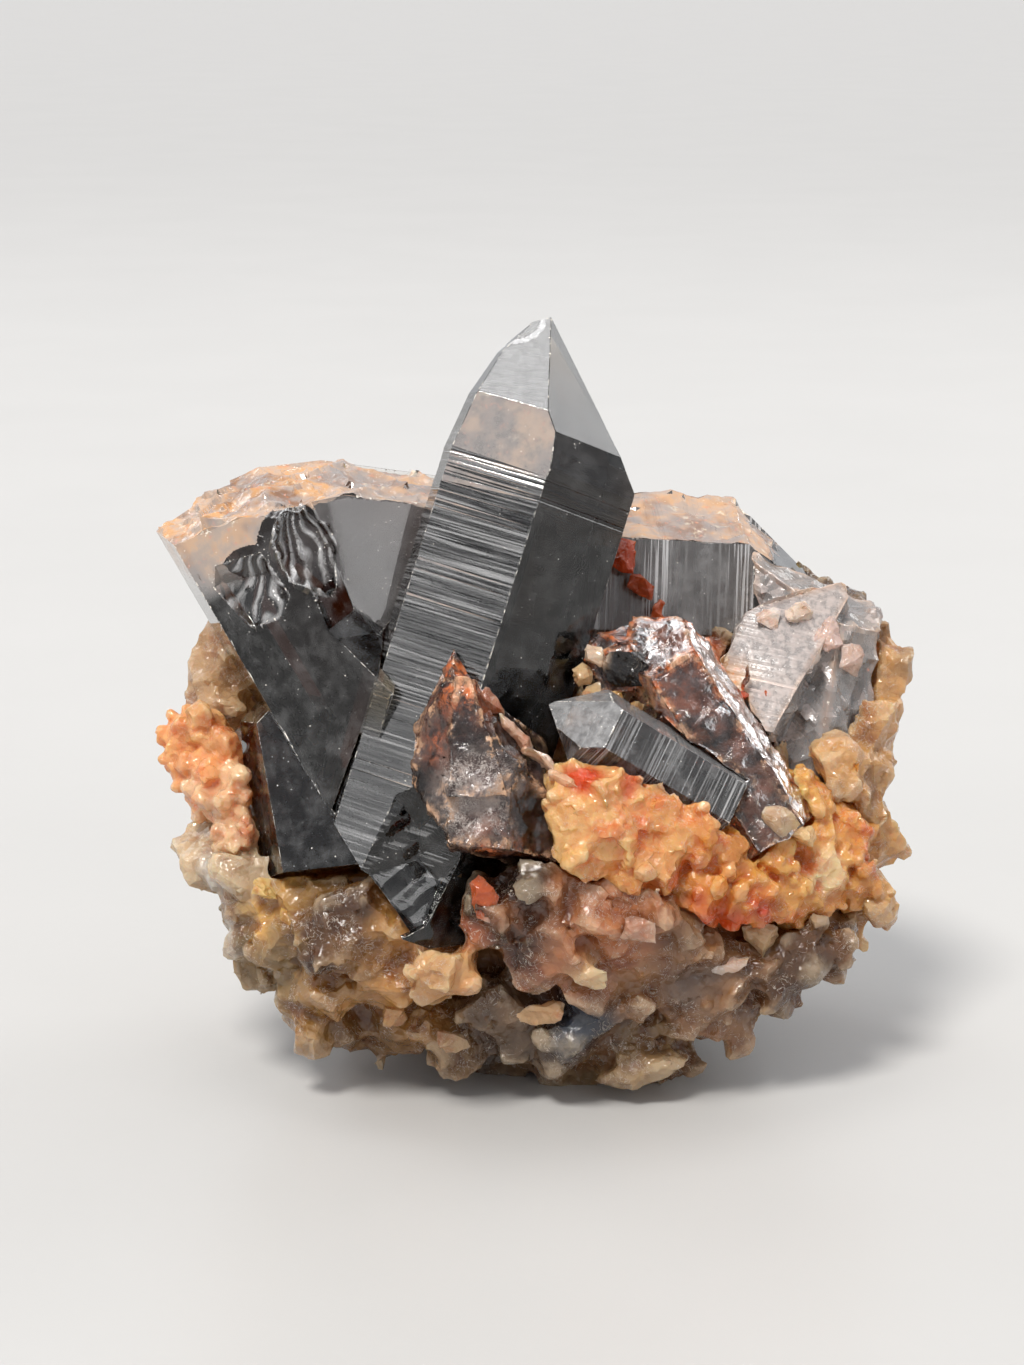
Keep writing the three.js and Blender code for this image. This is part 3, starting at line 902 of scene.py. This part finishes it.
def build_left_quartz():
    """The broad leaning crystal and its neighbour, with a stained broken top and two chips."""
    bm = node_copy("left_crystals")
    chips = [((-21.2, -10.9, 53.2), 6.0), ((-27.4, -14.2, 49.8), 6.4)]
    margins = edge_nearness(bm)
    soften_edges(bm, 0.1)
    front = Vector((-0.35, -0.931, 0.102))
    inner = Vector((0.24, -0.9, 0.36))

    def on_top(place, normal):
        return normal.dot(Vector((-0.15, -0.05, 0.98))) > 0.9 and place.z > 44

    def unbroken(normal):
        return abs(normal.dot(front)) > 0.995 or abs(normal.dot(inner)) > 0.995

    def in_chip(place):
        return max(near(place, centre, radius) for centre, radius in chips)

    def longest(place):
        if in_chip(place) > 0:
            return 0.24
        return 0.5 if place.z > 49 else 2.2

    refine(bm, longest)

    def flute(place):
        """Ridges from 0 to 1 that fan out from the blow, as in a break in glass."""
        blow = place - Vector((-23.5, -12, 59))
        turn = math.atan2(blow.z, blow.x) * 21 + 2.6 * waves(place, 2.2)
        broken_off = min(1.0, max(0.3, 0.85 + waves(place, 1.6, 4.0)))
        return broken_off * (1 - abs(math.sin(turn))) ** 1.3

    def height(place, normal):
        if on_top(place, normal):
            return 0.5 * rubble(place, 5.5) + 0.6 * broken(place, 4.0) + 0.45 * broken(place, 1.7)
        share = min(1.0, 2 * in_chip(place))
        if unbroken(normal) or not share:
            return 0.0
        return share * (0.6 * flute(place) - 0.35 + 0.25 * waves(place, 2.6))

    displace(bm, height)
    material = smoky_quartz(
        "left_quartz", LEFT_AXIS, front, (0.22, 0.33, 0.56), 0.003, 0.3, 0.07
    )
    piece = finished("left_crystals_quartz", bm, material, "smoky_quartz", "left_crystals")

    def stained(place, normal):
        if normal.z > 0.5 and place.z > 49.5 and in_chip(place) < 0.02:
            return 0.95 if place.x < -20 else 0.8
        if normal.dot(inner) > 0.99:
            return 0.1
        if in_chip(place) > 0.1 or place.x >= -19:
            return 0.0
        # It runs down the upper left of the broad crystal, to a slanting line
        above_line = place.z - (47.5 + 0.5 * (place.x + 30))
        return 0.75 * min(1.0, max(0.0, above_line / 4))

    # Painted highlight: a white frosted coat on the chips, strongest on the flutes, stands in for
    # their bright reflections as well as for frosting.
    def chip_frost_and_highlight(place, normal):
        if unbroken(normal):
            return 0.0
        return min(1.0, 3 * in_chip(place)) * min(1.0, max(0.06, 3.0 * flute(place) - 0.25))

    def lined(place, normal):
        return float(normal.x < -0.8)

    paint(piece, edge=on_bevel(margins), striae=lined, frost=chip_frost_and_highlight, stain=stained)


def build_small_dark():
    """The small dark crystal with a bright point, lying to the left."""
    rng = random.Random(5)
    bm = node_copy("small_dark_crystal")
    margins = edge_nearness(bm)
    reach = [vert.co.dot(SMALL_AXIS) for vert in bm.verts]
    steps = growth_steps(rng, min(reach) + 1, max(reach) - 4, 0.5, 2.0, 0.03)
    striate(bm, SMALL_AXIS, steps, lambda normal: 1.0)
    soften_edges(bm, 0.09)
    refine(bm, lambda place: 1.2)
    across = Vector((0, -0.9, 0.3)).normalized()
    material = smoky_quartz(
        "small_quartz", SMALL_AXIS, across, (0.26, 0.38, 0.6), 0.02, 0.2, 0.2, 0.5
    )
    piece = finished("small_dark_quartz", bm, material, "smoky_quartz", "small_dark_crystal")
    paint(
        piece,
        edge=on_bevel(margins),
        striae=lambda place, normal: float(abs(normal.dot(SMALL_AXIS)) < 0.25),
        # Painted highlight: the upward faces get a lighter frosted coat, which also stands in for
        # their bright highlight.
        frost=lambda place, normal: 0.3 if normal.z > 0.4 else 0.05,
    )


def build_back_right():
    """The dark crystal behind on the right, with upright streaks and a stained, uneven top."""
    rng = random.Random(8)
    bm = node_copy("back_right_crystal")
    margins = edge_nearness(bm)
    steps = growth_steps(rng, 12, 30, 0.8, 3.0, 0.02)
    striate(bm, BACK_AXIS, steps, lambda normal: 1.0)
    soften_edges(bm, 0.12)
    refine(bm, lambda place: 0.8 if place.z > 50 else 2.0)

    def rim(place, normal):
        return 1.0 if normal.z > 0.6 and place.z > 48 else 0.0

    def height(place, normal):
        return rim(place, normal) * (0.4 * rubble(place, 3) + 0.5 * broken(place, 2))

    displace(bm, height)
    across = Vector((0.1, -0.97, 0.2)).normalized()
    material = smoky_quartz(
        "back_quartz", BACK_AXIS, across, (0.25, 0.33, 0.48), 0.006, 0.2, 0.24, 0.8, 0.1
    )
    piece = finished("back_right_quartz", bm, material, "smoky_quartz", "back_right_crystal")
    paint(
        piece,
        edge=on_bevel(margins),
        striae=lambda place, normal: float(abs(normal.dot(BACK_AXIS)) < 0.25),
        frost=lambda place, normal: 0.3 * rim(place, normal),
        stain=lambda place, normal: 0.85 * rim(place, normal),
    )
    smooth_where(piece, rim)


def build_front_crystal():
    """The violet-brown frosted crystal in front, with its thin spike."""
    bm = node_copy("front_crystal")
    margins = edge_nearness(bm)
    soften_edges(bm, 0.3)
    refine(bm, lambda place: 0.42)

    def height(place, normal):
        return 0.25 * rubble(place, 3.2, 1.0) + 0.5 * broken(place, 2.0) + 0.35 * broken(place, 0.9)

    displace(bm, height)
    material = frosted_quartz("front_frosted", (0.1, 0.17, 0.22))
    piece = finished("front_quartz", bm, material, "frosted_quartz", "front_crystal")

    def margin(place, normal):
        return max(0.0, 1 - margins.find(place)[2] / 1.3)

    def stained(place, normal):
        spike = near(place, (-6.6, -20, 44), 8)
        foot = near(place, (-4, -22.5, 27), 5)
        seam = near(place, (-10, -21, 37), 4) * 0.6
        return min(1.0, 1.3 * max(spike, foot, seam))

    def frosted(place, normal):
        return min(1.0, 1.4 * near(place, (-6, -24, 33), 7))

    paint(piece, stain=stained, rim=margin, frost=frosted)
    smooth_where(piece, lambda place, normal: 1.0)


def build_ridge():
    """The long ridge crystal running down to the right, frosted lower down."""
    bm = node_copy("ridge_crystal")
    margins = edge_nearness(bm)
    soften_edges(bm, 0.2)
    refine(bm, lambda place: 0.6)
    displace(bm, lambda place, normal: 0.25 * rubble(place, 3.4, 2.0) + 0.5 * broken(place, 2.2))
    material = frosted_quartz("ridge_frosted", (0.12, 0.19, 0.25))
    piece = finished("ridge_quartz", bm, material, "frosted_quartz", "ridge_crystal")

    def frosted(place, normal):
        lower = min(1.0, max(0.0, (37 - place.z) / 7))
        return lower * (0.9 if normal.y < -0.3 else 0.3)

    def margin(place, normal):
        return max(0.0, 1 - margins.find(place)[2] / 0.9)

    def stained(place, normal):
        upper = 0.8 * margin(place, normal) if place.z > 36 else 0.0
        return min(1.0, 0.3 + 0.5 * near(place, (12, -6, 40), 8) + upper)

    paint(piece, stain=stained, rim=margin, frost=frosted)
    smooth_where(piece, lambda place, normal: 1.0)


def build_right_quartz():
    """The blocky brown crystals on the right, with a pale striated face in front whose whitish coat
    is partly a painted reflection of a light.
    """
    bm = node_copy("right_crystals")
    margins = edge_nearness(bm)
    soften_edges(bm, 0.15)
    refine(bm, lambda place: 0.6)
    face = Vector((-0.05, -0.78, 0.62)).normalized()
    lines = Vector((0.25, 0.58, 0.74)).normalized()

    def pale(place, normal):
        return 1.0 if normal.dot(face) > 0.94 and place.z > 33 else 0.0

    def height(place, normal):
        if pale(place, normal):
            return 0.12 * waves(place, 4.0)
        return 0.2 * rubble(place, 2.6, 3.0) + 0.7 * broken(place, 2.4)

    displace(bm, height)
    # Painted reflection: the whitish pink coat tone stands in partly for the sheen of a light
    # reflected in the pale face.
    material = smoky_quartz(
        "right_brown_quartz", lines, face, (0.24, 0.4, 0.66), 0.11, 0.2, 0.1, 1.0,
        film_and_highlight_tone=(244, 220, 210), fineness=1.9,
    )
    piece = finished("right_quartz", bm, material, "brown_quartz", "right_crystals")

    def stained(place, normal):
        edge = max(0.0, 1 - margins.find(place)[2] / 0.8)
        corner = near(place, (17.5, -6, 39), 5)
        return min(1.0, 0.5 * edge + corner + (0.12 if pale(place, normal) else 0.35))

    # The pale face's frosting also paints its sheen, a painted reflection.
    def frosted(place, normal):
        return 0.6 if pale(place, normal) else 0.04

    paint(piece, edge=on_bevel(margins), striae=pale, frost=frosted, stain=stained)


# Matrix and crusts

# What colours the rock has where, as (place, reach, colour), all in millimetres.
ROCK_TINTS = [
    ((-31, 1.5, 37), 6, srgb(206, 168, 126)),
    ((-28, -8, 23), 6, srgb(216, 188, 152)),
    ((-25, -11, 14), 8, srgb(158, 128, 84)),
    ((-25, -14.8, 21), 3.5, srgb(232, 178, 98)),
    ((-19, -20, 20), 5, srgb(84, 52, 26)),
    ((-15, -16, 13), 6, srgb(196, 142, 76)),
    ((-12, -12, 6), 7, srgb(150, 112, 70)),
    ((-9, -20, 15), 4, srgb(222, 158, 100)),
    ((0, -15, 7), 6, srgb(112, 88, 66)),
    ((8, -12, 3), 6, srgb(160, 128, 90)),
    ((14, -16, 13), 7, srgb(158, 116, 80)),
    ((5, -21, 19), 6, srgb(196, 130, 88)),
    ((-3, -22.5, 22), 5, srgb(58, 34, 22)),
    ((24, -13, 13), 6, srgb(112, 74, 40)),
    ((31, -5, 25), 8, srgb(222, 168, 104)),
    ((33, 2, 35), 7, srgb(208, 160, 106)),
    ((29, 10, 41), 7, srgb(96, 68, 44)),
    ((6, -6, 38), 4, srgb(232, 208, 158)),
    ((10, -2, 46), 4, srgb(206, 88, 38)),
    ((-16, 14, 24), 12, srgb(168, 132, 92)),
    ((4, 20, 28), 12, srgb(140, 104, 70)),
    ((22, 18, 22), 12, srgb(192, 146, 96)),
    ((4, 14, 10), 12, srgb(112, 94, 78)),
]
CRUST_TINTS = [
    ((5, -22, 30), 6, srgb(246, 188, 122)),
    ((8, -20, 25), 4, srgb(232, 126, 54)),
    ((13, -19, 28), 6, srgb(244, 172, 104)),
    ((18, -17, 25), 5, srgb(240, 160, 76)),
    ((16, -18, 21), 4, srgb(220, 96, 40)),
    ((24, -14, 25), 6, srgb(242, 178, 96)),
    ((29, -11, 23), 6, srgb(228, 158, 82)),
]
DRUSE_TINTS = [
    ((-33, -3, 34), 3, srgb(242, 184, 120)),
    ((-32.5, -3, 31), 4, srgb(244, 172, 112)),
    ((-28.5, -8, 26), 4, srgb(234, 190, 148)),
]

# Single lumps and flakes, as (centre, half sizes, turn in degrees as seen from the front,
# corners, squareness, colour).
WHITE_GLASS = srgb(250, 230, 218)
BLACK_GLASS = srgb(22, 16, 14)
ROCK_LUMPS = [
    ((-9.0, -22.4, 15.7), (3.4, 2.0, 2.5), 8, 34, 0.1, srgb(232, 180, 122)),
    ((32.6, -8.6, 18.0), (1.9, 2.6, 3.8), -18, 34, 0.0, srgb(206, 154, 88)),
    ((24.4, -14.6, 13.4), (4.2, 2.4, 3.0), -25, 26, 0.0, srgb(92, 62, 38)),
    ((5.2, -22.8, 15.4), (2.6, 1.2, 1.7), 20, 12, 0.3, srgb(232, 192, 140)),
    ((14.0, -17.9, 12.6), (5.8, 1.3, 1.2), -19, 16, 0.3, srgb(134, 108, 90)),
    ((4.4, -18.2, 8.6), (5.6, 1.6, 2.2), -28, 16, 0.4, srgb(72, 76, 86)),
    ((9.8, -15.4, 3.4), (5.5, 2.4, 1.7), -14, 34, 0.0, srgb(170, 138, 98)),
    ((-6.2, -21.6, 19.4), (1.8, 1.3, 1.2), 20, 14, 0.2, srgb(222, 134, 88)),
    ((-30.6, -9.6, 21.0), (1.6, 1.8, 2.6), 20, 12, 0.4, srgb(222, 212, 200)),
    ((-28.6, -11.0, 15.0), (1.4, 1.6, 2.6), 25, 12, 0.4, srgb(206, 192, 172)),
    ((22.6, -16.6, 28.0), (2.4, 1.6, 1.7), 20, 16, 0.2, srgb(204, 164, 118)),
    ((24.6, -15.6, 26.6), (1.8, 1.6, 1.5), -10, 16, 0.2, srgb(232, 184, 118)),
]
SMALL_CRYSTALS = [
    ((22.3, -3.0, 44.6), (1.5, 0.9, 1.5), 25, 10, 0.95, WHITE_GLASS),
    ((25.1, -2.9, 45.0), (1.7, 0.9, 1.7), 12, 10, 0.95, srgb(250, 222, 202)),
    ((27.9, -3.8, 43.2), (2.0, 0.9, 1.9), -22, 10, 0.95, srgb(244, 206, 192)),
    ((30.2, -3.8, 40.4), (1.4, 0.9, 2.4), 14, 10, 0.8, srgb(226, 196, 182)),
    ((11.8, 1.0, 43.9), (1.3, 1.2, 2.0), -12, 12, 0.9, srgb(198, 92, 44)),
    ((8.4, 2.6, 49.2), (1.9, 1.3, 2.4), 20, 12, 0.3, srgb(212, 84, 40)),
    ((10.2, 1.8, 46.6), (1.5, 1.2, 1.7), 0, 12, 0.4, srgb(190, 84, 46)),
    ((8.3, -12.1, 41.9), (2.5, 1.3, 2.2), 15, 14, 0.3, BLACK_GLASS),
    ((11.6, -10.6, 40.6), (2.0, 1.3, 2.2), -15, 14, 0.3, srgb(40, 26, 20)),
    ((5.6, -11.8, 43.0), (1.5, 1.0, 1.2), 30, 12, 0.3, srgb(242, 212, 184)),
    ((4.2, -11.8, 41.2), (1.2, 1.0, 1.3), 0, 12, 0.3, srgb(236, 196, 148)),
    ((5.2, -12.4, 39.6), (1.3, 0.9, 1.0), -30, 12, 0.3, srgb(228, 192, 146)),
    ((6.9, -12.8, 38.9), (1.5, 0.9, 0.9), -35, 12, 0.2, srgb(220, 172, 98)),
    ((8.9, -13.0, 38.0), (1.3, 0.9, 0.9), -40, 12, 0.2, srgb(210, 168, 112)),
    ((-4.4, -18.2, 40.4), (0.7, 0.8, 2.2), -38, 14, 0.1, srgb(196, 142, 112)),
    ((-2.2, -19.2, 37.6), (0.7, 0.9, 2.6), -42, 14, 0.1, srgb(222, 176, 148)),
    ((0.4, -20.4, 35.2), (0.8, 1.0, 2.7), -48, 14, 0.1, srgb(232, 190, 160)),
    ((2.6, -22.0, 33.6), (0.9, 1.1, 2.2), -60, 14, 0.1, srgb(236, 186, 146)),
    ((19.9, -7.8, 39.9), (0.45, 0.45, 1.7), 16, 12, 0.6, srgb(112, 66, 48)),
    ((19.0, -7.8, 38.0), (1.2, 0.8, 0.7), -10, 12, 0.2, srgb(222, 78, 34)),
    ((21.6, -7.2, 38.0), (0.9, 0.7, 0.7), 10, 12, 0.2, srgb(224, 104, 60)),
    ((21.2, -16.0, 16.6), (2.1, 1.3, 2.3), -10, 12, 0.8, srgb(222, 184, 140)),
    ((0.2, -19.6, 10.4), (2.8, 1.3, 1.3), -14, 12, 0.4, srgb(234, 186, 136)),
    ((-8.0, -17.8, 7.0), (1.8, 1.2, 1.3), 10, 12, 0.3, srgb(206, 172, 132)),
    ((-13.4, -17.6, 9.4), (1.6, 1.2, 1.4), 0, 12, 0.3, srgb(208, 158, 104)),
    ((9.3, -23.6, 19.8), (2.0, 0.9, 2.1), 30, 9, 0.2, srgb(216, 176, 150)),
    ((17.6, -17.9, 14.6), (2.8, 1.2, 0.7), -19, 14, 0.3, srgb(220, 196, 178)),
    ((-4.8, -22.9, 23.0), (1.5, 1.1, 2.4), -10, 12, 0.3, srgb(206, 96, 42)),
    ((-25.4, -15.0, 21.2), (1.6, 1.2, 1.4), 20, 12, 0.5, srgb(240, 200, 128)),
    ((-23.2, -16.2, 18.8), (1.2, 1.0, 1.3), -20, 12, 0.5, srgb(232, 182, 104)),
    ((30.4, -8.8, 30.2), (1.0, 1.0, 2.0), 12, 12, 0.8, srgb(226, 142, 54)),
]
CRUST_LUMPS = [
    ((4.9, -22.6, 29.0), (4.6, 1.9, 3.9), 24, 60, 0.0, srgb(250, 194, 126)),
    ((12.4, -20.2, 28.0), (3.6, 1.8, 2.6), -24, 50, 0.0, srgb(248, 186, 114)),
    ((8.2, -22.2, 24.6), (3.0, 1.5, 1.5), 24, 16, 0.4, srgb(244, 172, 98)),
    ((26.9, -13.6, 22.6), (2.7, 1.6, 2.8), 10, 30, 0.1, srgb(252, 214, 162)),
    ((4.2, -21.6, 33.8), (1.8, 1.2, 1.3), 0, 14, 0.3, srgb(226, 84, 36)),
    ((8.4, -20.4, 33.0), (1.5, 1.2, 1.5), 20, 14, 0.4, srgb(228, 118, 74)),
]


def tint_at(place, tints, rng=None):
    """The tint of a place: the regions mixed by nearness or, with rng, one of them drawn by lot."""
    shares = [
        math.exp(-((place - Vector(centre)).length / reach) ** 2) + 1e-6
        for centre, reach, _ in tints
    ]
    if rng is None:
        total = sum(shares)
        return tuple(
            sum(share * tint[i] for share, (_, _, tint) in zip(shares, tints)) / total
            for i in range(3)
        )
    weights = [share * share for share in shares]
    tint = rng.choices([tint for _, _, tint in tints], weights=weights)[0]
    light = min(math.exp(rng.gauss(0, 0.18)), 0.92 / max(tint[:3]))
    return tuple(value * light for value in tint[:3])


def set_lumps(rng, lumps):
    """Single lumps as grains. Each is turned in its place as seen from the front."""
    grains = []
    for centre, sizes, turn, corners, square, tint in lumps:
        shape = unit_grains(rng, 1, corners, square)[0]
        turned = Matrix.Rotation(math.radians(turn), 3, "Y")
        placed = [
            Vector(centre) + turned @ Vector([point[i] * sizes[i] for i in range(3)])
            for point in shape
        ]
        grains.append(Grain(Vector(centre), sum(sizes) / 3, placed, tint))
    return grains


def crystal_trees(*names):
    """Search trees of the crystals, which grains keep clear of."""
    trees = []
    for name in names:
        bm = node_copy(name)
        bmesh.ops.triangulate(bm, faces=bm.faces)
        trees.append(BVHTree.FromBMesh(bm))
        bm.free()
    return trees


def build_grains(
    piece_name, node, slot, material, tints, lumps, trees, rng, voxel, height, layers
):
    """The CAD node with single lumps and layers of finer grains grown over it, in one closed mesh.

    height(place, normal) roughens it. Each layer is (shapes, grains on a mm2, radius, sink).
    """
    low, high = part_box(node)
    margin = 1.0
    box_low = Vector([max(low[i] / MM - margin, CAD_BOX[0][i] / MM) for i in range(3)])
    box_high = Vector([min(high[i] / MM + margin, CAD_BOX[1][i] / MM) for i in range(3)])

    def blocked(place, normal, radius):
        for tree in trees:
            if tree.ray_cast(place + normal * 0.02, normal, 2.0)[0] is not None:
                return True
            if tree.find_nearest(place, radius * 0.7)[0] is not None:
                return True
        return place.z < 0.6

    grains = set_lumps(rng, lumps)
    whole = grown_together(piece_name, node_copy(node), grains, box_low, box_high)
    for shapes, per_mm2, size, sink in layers:
        layer = scatter(node_copy(node), rng, shapes, per_mm2, size, blocked, sink)
        for grain in layer:
            grain.tint = tint_at(grain.centre, tints, rng)
        whole = grown_together(piece_name, whole, layer, box_low, box_high)
        grains += layer
    whole = rounded(piece_name, whole, voxel)
    displace(whole, height)
    whole = faceted(piece_name, whole, KEPT_FACES)
    stand_flat(whole)
    for vert in whole.verts:
        vert.co = [min(max(vert.co[i], box_low[i]), box_high[i]) for i in range(3)]
    piece = finished(piece_name, whole, material, slot, node)
    paint_tints(piece, grains, lambda place: tint_at(place, tints))
    paint_ridges(piece)


def build_rock():
    """The matrix of broken quartz and feldspar."""
    rng = random.Random(21)
    blocks = unit_grains(rng, 14, 13, 0.4)
    points = unit_grains(rng, 6, 10, 0.2) + [prism_grain(rng) for _ in range(5)]
    trees = crystal_trees(
        "main_point", "left_crystals", "front_crystal", "small_dark_crystal",
        "ridge_crystal", "right_crystals", "back_right_crystal",
    )

    def fine(place):
        """Where the grains are fine and close, in the pocket behind the small dark crystal."""
        return near(place, (6, -6, 38), 8)

    def height(place, normal):
        facets = 0.42 * broken(place, 4.5) + 0.32 * broken(place, 2.2) + 0.25 * broken(place, 1.2)
        return min(0.45, facets + 0.15 * rubble(place, 4.2, 4.0))

    def many(place, normal):
        return 0.07 + 0.5 * fine(place)

    material = granular(
        "matrix_rock", 0.6, 0.4, (0.04, 0.1, 0.26), (0.03, 0.17),
        srgb(168, 106, 56), srgb(248, 226, 192), 0.6,
    )
    layers = [
        (blocks, lambda place, normal: 0.03, lambda place: 1.7 - 0.8 * fine(place), 0.4),
        (points, many, lambda place: 0.8 - 0.2 * fine(place), 0.2),
    ]
    build_grains(
        "matrix_grains", "matrix", "matrix_rock", material, ROCK_TINTS, ROCK_LUMPS,
        trees, rng, 0.42, height, layers,
    )


def build_small_crystals():
    """Single small crystals and flakes that stand out of the cluster, in one piece."""
    rng = random.Random(52)
    grains = set_lumps(rng, SMALL_CRYSTALS)
    low, high = (Vector(corner) / MM for corner in CAD_BOX)
    first = bmesh.new()
    for corner in grains[0].corners:
        first.verts.new(corner)
    bmesh.ops.convex_hull(first, input=first.verts)
    whole = grown_together("small_crystals", first, grains[1:], low, high)
    material = granular(
        "small_crystals", 0.4, 0.45, (0.02, 0.045, 0.08), (0.03, 0.2),
        srgb(214, 146, 100), WHITE_GLASS, 0.3,
    )
    refine(whole, lambda place: 0.4)
    displace(whole, lambda place, normal: 0.5 * broken(place, 1.1) + 0.1 * rubble(place, 1.5))
    piece = finished("small_crystals", whole, material, "matrix_rock")
    paint_tints(piece, grains, lambda place: CREAM)
    paint_ridges(piece)


def build_crust():
    """The orange crust across the front, with rounder grains towards the right."""
    rng = random.Random(33)
    pebbles = unit_grains(rng, 10, 26, 0.1)
    points = unit_grains(rng, 8, 12, 0.3) + [prism_grain(rng) for _ in range(4)]
    trees = crystal_trees("main_point", "front_crystal", "small_dark_crystal")

    def height(place, normal):
        facets = 0.4 * broken(place, 2.6) + 0.4 * broken(place, 1.0)
        return min(0.3, facets + 0.15 * rubble(place, 3.4))

    def round_ones(place, normal):
        return 0.05 if place.x < 14 else 0.35

    material = granular(
        "orange_crust", 0.7, 0.4, (0.01, 0.055, 0.24), (0.04, 0.2),
        srgb(244, 140, 66), srgb(255, 232, 200), 0.5,
    )
    layers = [
        (pebbles, round_ones, lambda place: 0.8, 0.3),
        (points, lambda place, normal: 0.2, lambda place: 0.5, 0.2),
    ]
    build_grains(
        "orange_crust_grains", "orange_crust", "orange_crust", material, CRUST_TINTS, CRUST_LUMPS,
        trees, rng, 0.24, height, layers,
    )


def build_druse():
    """The knot of orange nodules at the left edge."""
    rng = random.Random(44)
    pebbles = unit_grains(rng, 10, 30, 0.1)
    material = granular(
        "left_druse", 0.7, 0.35, (0.01, 0.05, 0.19), (0.04, 0.22),
        srgb(242, 150, 90), srgb(254, 228, 190), 0.3,
    )

    def height(place, normal):
        return 0.45 * broken(place, 1.3) + 0.1 * rubble(place, 2.4)

    layers = [(pebbles, lambda place, normal: 0.5, lambda place: 0.8, 0.2)]
    build_grains(
        "left_druse_grains", "left_druse", "orange_crust", material, DRUSE_TINTS, [],
        crystal_trees("left_crystals"), rng, 0.22, height, layers,
    )


# Stage


def area_light(name, direction, distance, width, radiance):
    """A square softbox round the part, in metres, equally bright all over."""
    data = bpy.data.lights.new(name, "AREA")
    data.shape = "RECTANGLE"
    data.size = width
    data.size_y = width
    data.energy = radiance * math.pi * width * width
    lamp = bpy.data.objects.new(name, data)
    heading = Vector(direction).normalized()
    lamp.location = Vector((0, 0, 0.035)) + heading * distance
    lamp.rotation_euler = heading.to_track_quat("Z", "Y").to_euler()
    bpy.context.scene.collection.objects.link(lamp)


def aimed(turn, height):
    """The direction that is so many degrees round to the right from the front, and so many up."""
    turn, height = math.radians(turn), math.radians(height)
    flat = math.cos(height)
    return (flat * math.sin(turn), -flat * math.cos(turn), math.sin(height))


def build_stage():
    bm = bmesh.new()
    bmesh.ops.create_grid(bm, x_segments=8, y_segments=8, size=20000)
    bmesh.ops.scale(bm, vec=Vector((MM, MM, MM)), verts=bm.verts)
    floor = mesh_object("floor", bm)
    floor.data.materials.append(pale_floor())

    sun = bpy.data.lights.new("key", "SUN")
    sun.energy = 3.2
    sun.color = (1.0, 0.97, 0.93)
    sun.angle = math.radians(16)
    lamp = bpy.data.objects.new("key", sun)
    lamp.rotation_euler = Vector(aimed(-28, 58)).to_track_quat("Z", "Y").to_euler()
    bpy.context.scene.collection.objects.link(lamp)
    # Each softbox stands where one of the faces mirrors it to the camera
    area_light("overhead", aimed(-144, 80), 0.8, 0.26, 4.0)
    area_light("front_left", aimed(-42, 18), 0.9, 0.18, 2.0)
    area_light("front_right", aimed(33, 29), 0.8, 0.16, 2.8)
    area_light("back_right", aimed(124, 28), 0.8, 0.36, 3.2)
    area_light("back_left", aimed(-130, 30), 0.9, 0.3, 3.5)

    world = bpy.data.worlds.new("studio")
    world.use_nodes = True
    background = world.node_tree.nodes["Background"]
    background.inputs["Color"].default_value = (0.96, 0.97, 1.0, 1.0)
    background.inputs["Strength"].default_value = 0.75
    bpy.context.scene.world = world
    bpy.context.scene.view_settings.view_transform = "Standard"
    cycles = bpy.context.scene.cycles
    cycles.adaptive_threshold = 0.07
    cycles.max_bounces = 8
    cycles.diffuse_bounces = 3
    cycles.glossy_bounces = 4
    cycles.transmission_bounces = 7


def build_camera():
    """The photograph's view: 14 degrees down, from straight in front."""
    data = bpy.data.cameras.new("camera")
    data.sensor_fit = "VERTICAL"
    data.sensor_height = 24
    data.lens = 51.97
    data.clip_start = 0.01
    camera = bpy.data.objects.new("camera", data)
    look_at = Vector((-2.349, 0.65, 37.3)) * MM
    elevation = math.radians(14)
    distance = 289 * MM
    camera.location = look_at + Vector((0, -math.cos(elevation), math.sin(elevation))) * distance
    camera.rotation_euler = Euler((math.radians(90) - elevation, 0, 0))
    bpy.context.scene.collection.objects.link(camera)
    bpy.context.scene.camera = camera


def main():
    build_camera()
    build_stage()
    build_main_point()
    build_left_quartz()
    build_small_dark()
    build_back_right()
    build_front_crystal()
    build_ridge()
    build_right_quartz()
    build_rock()
    build_small_crystals()
    build_crust()
    build_druse()


main()
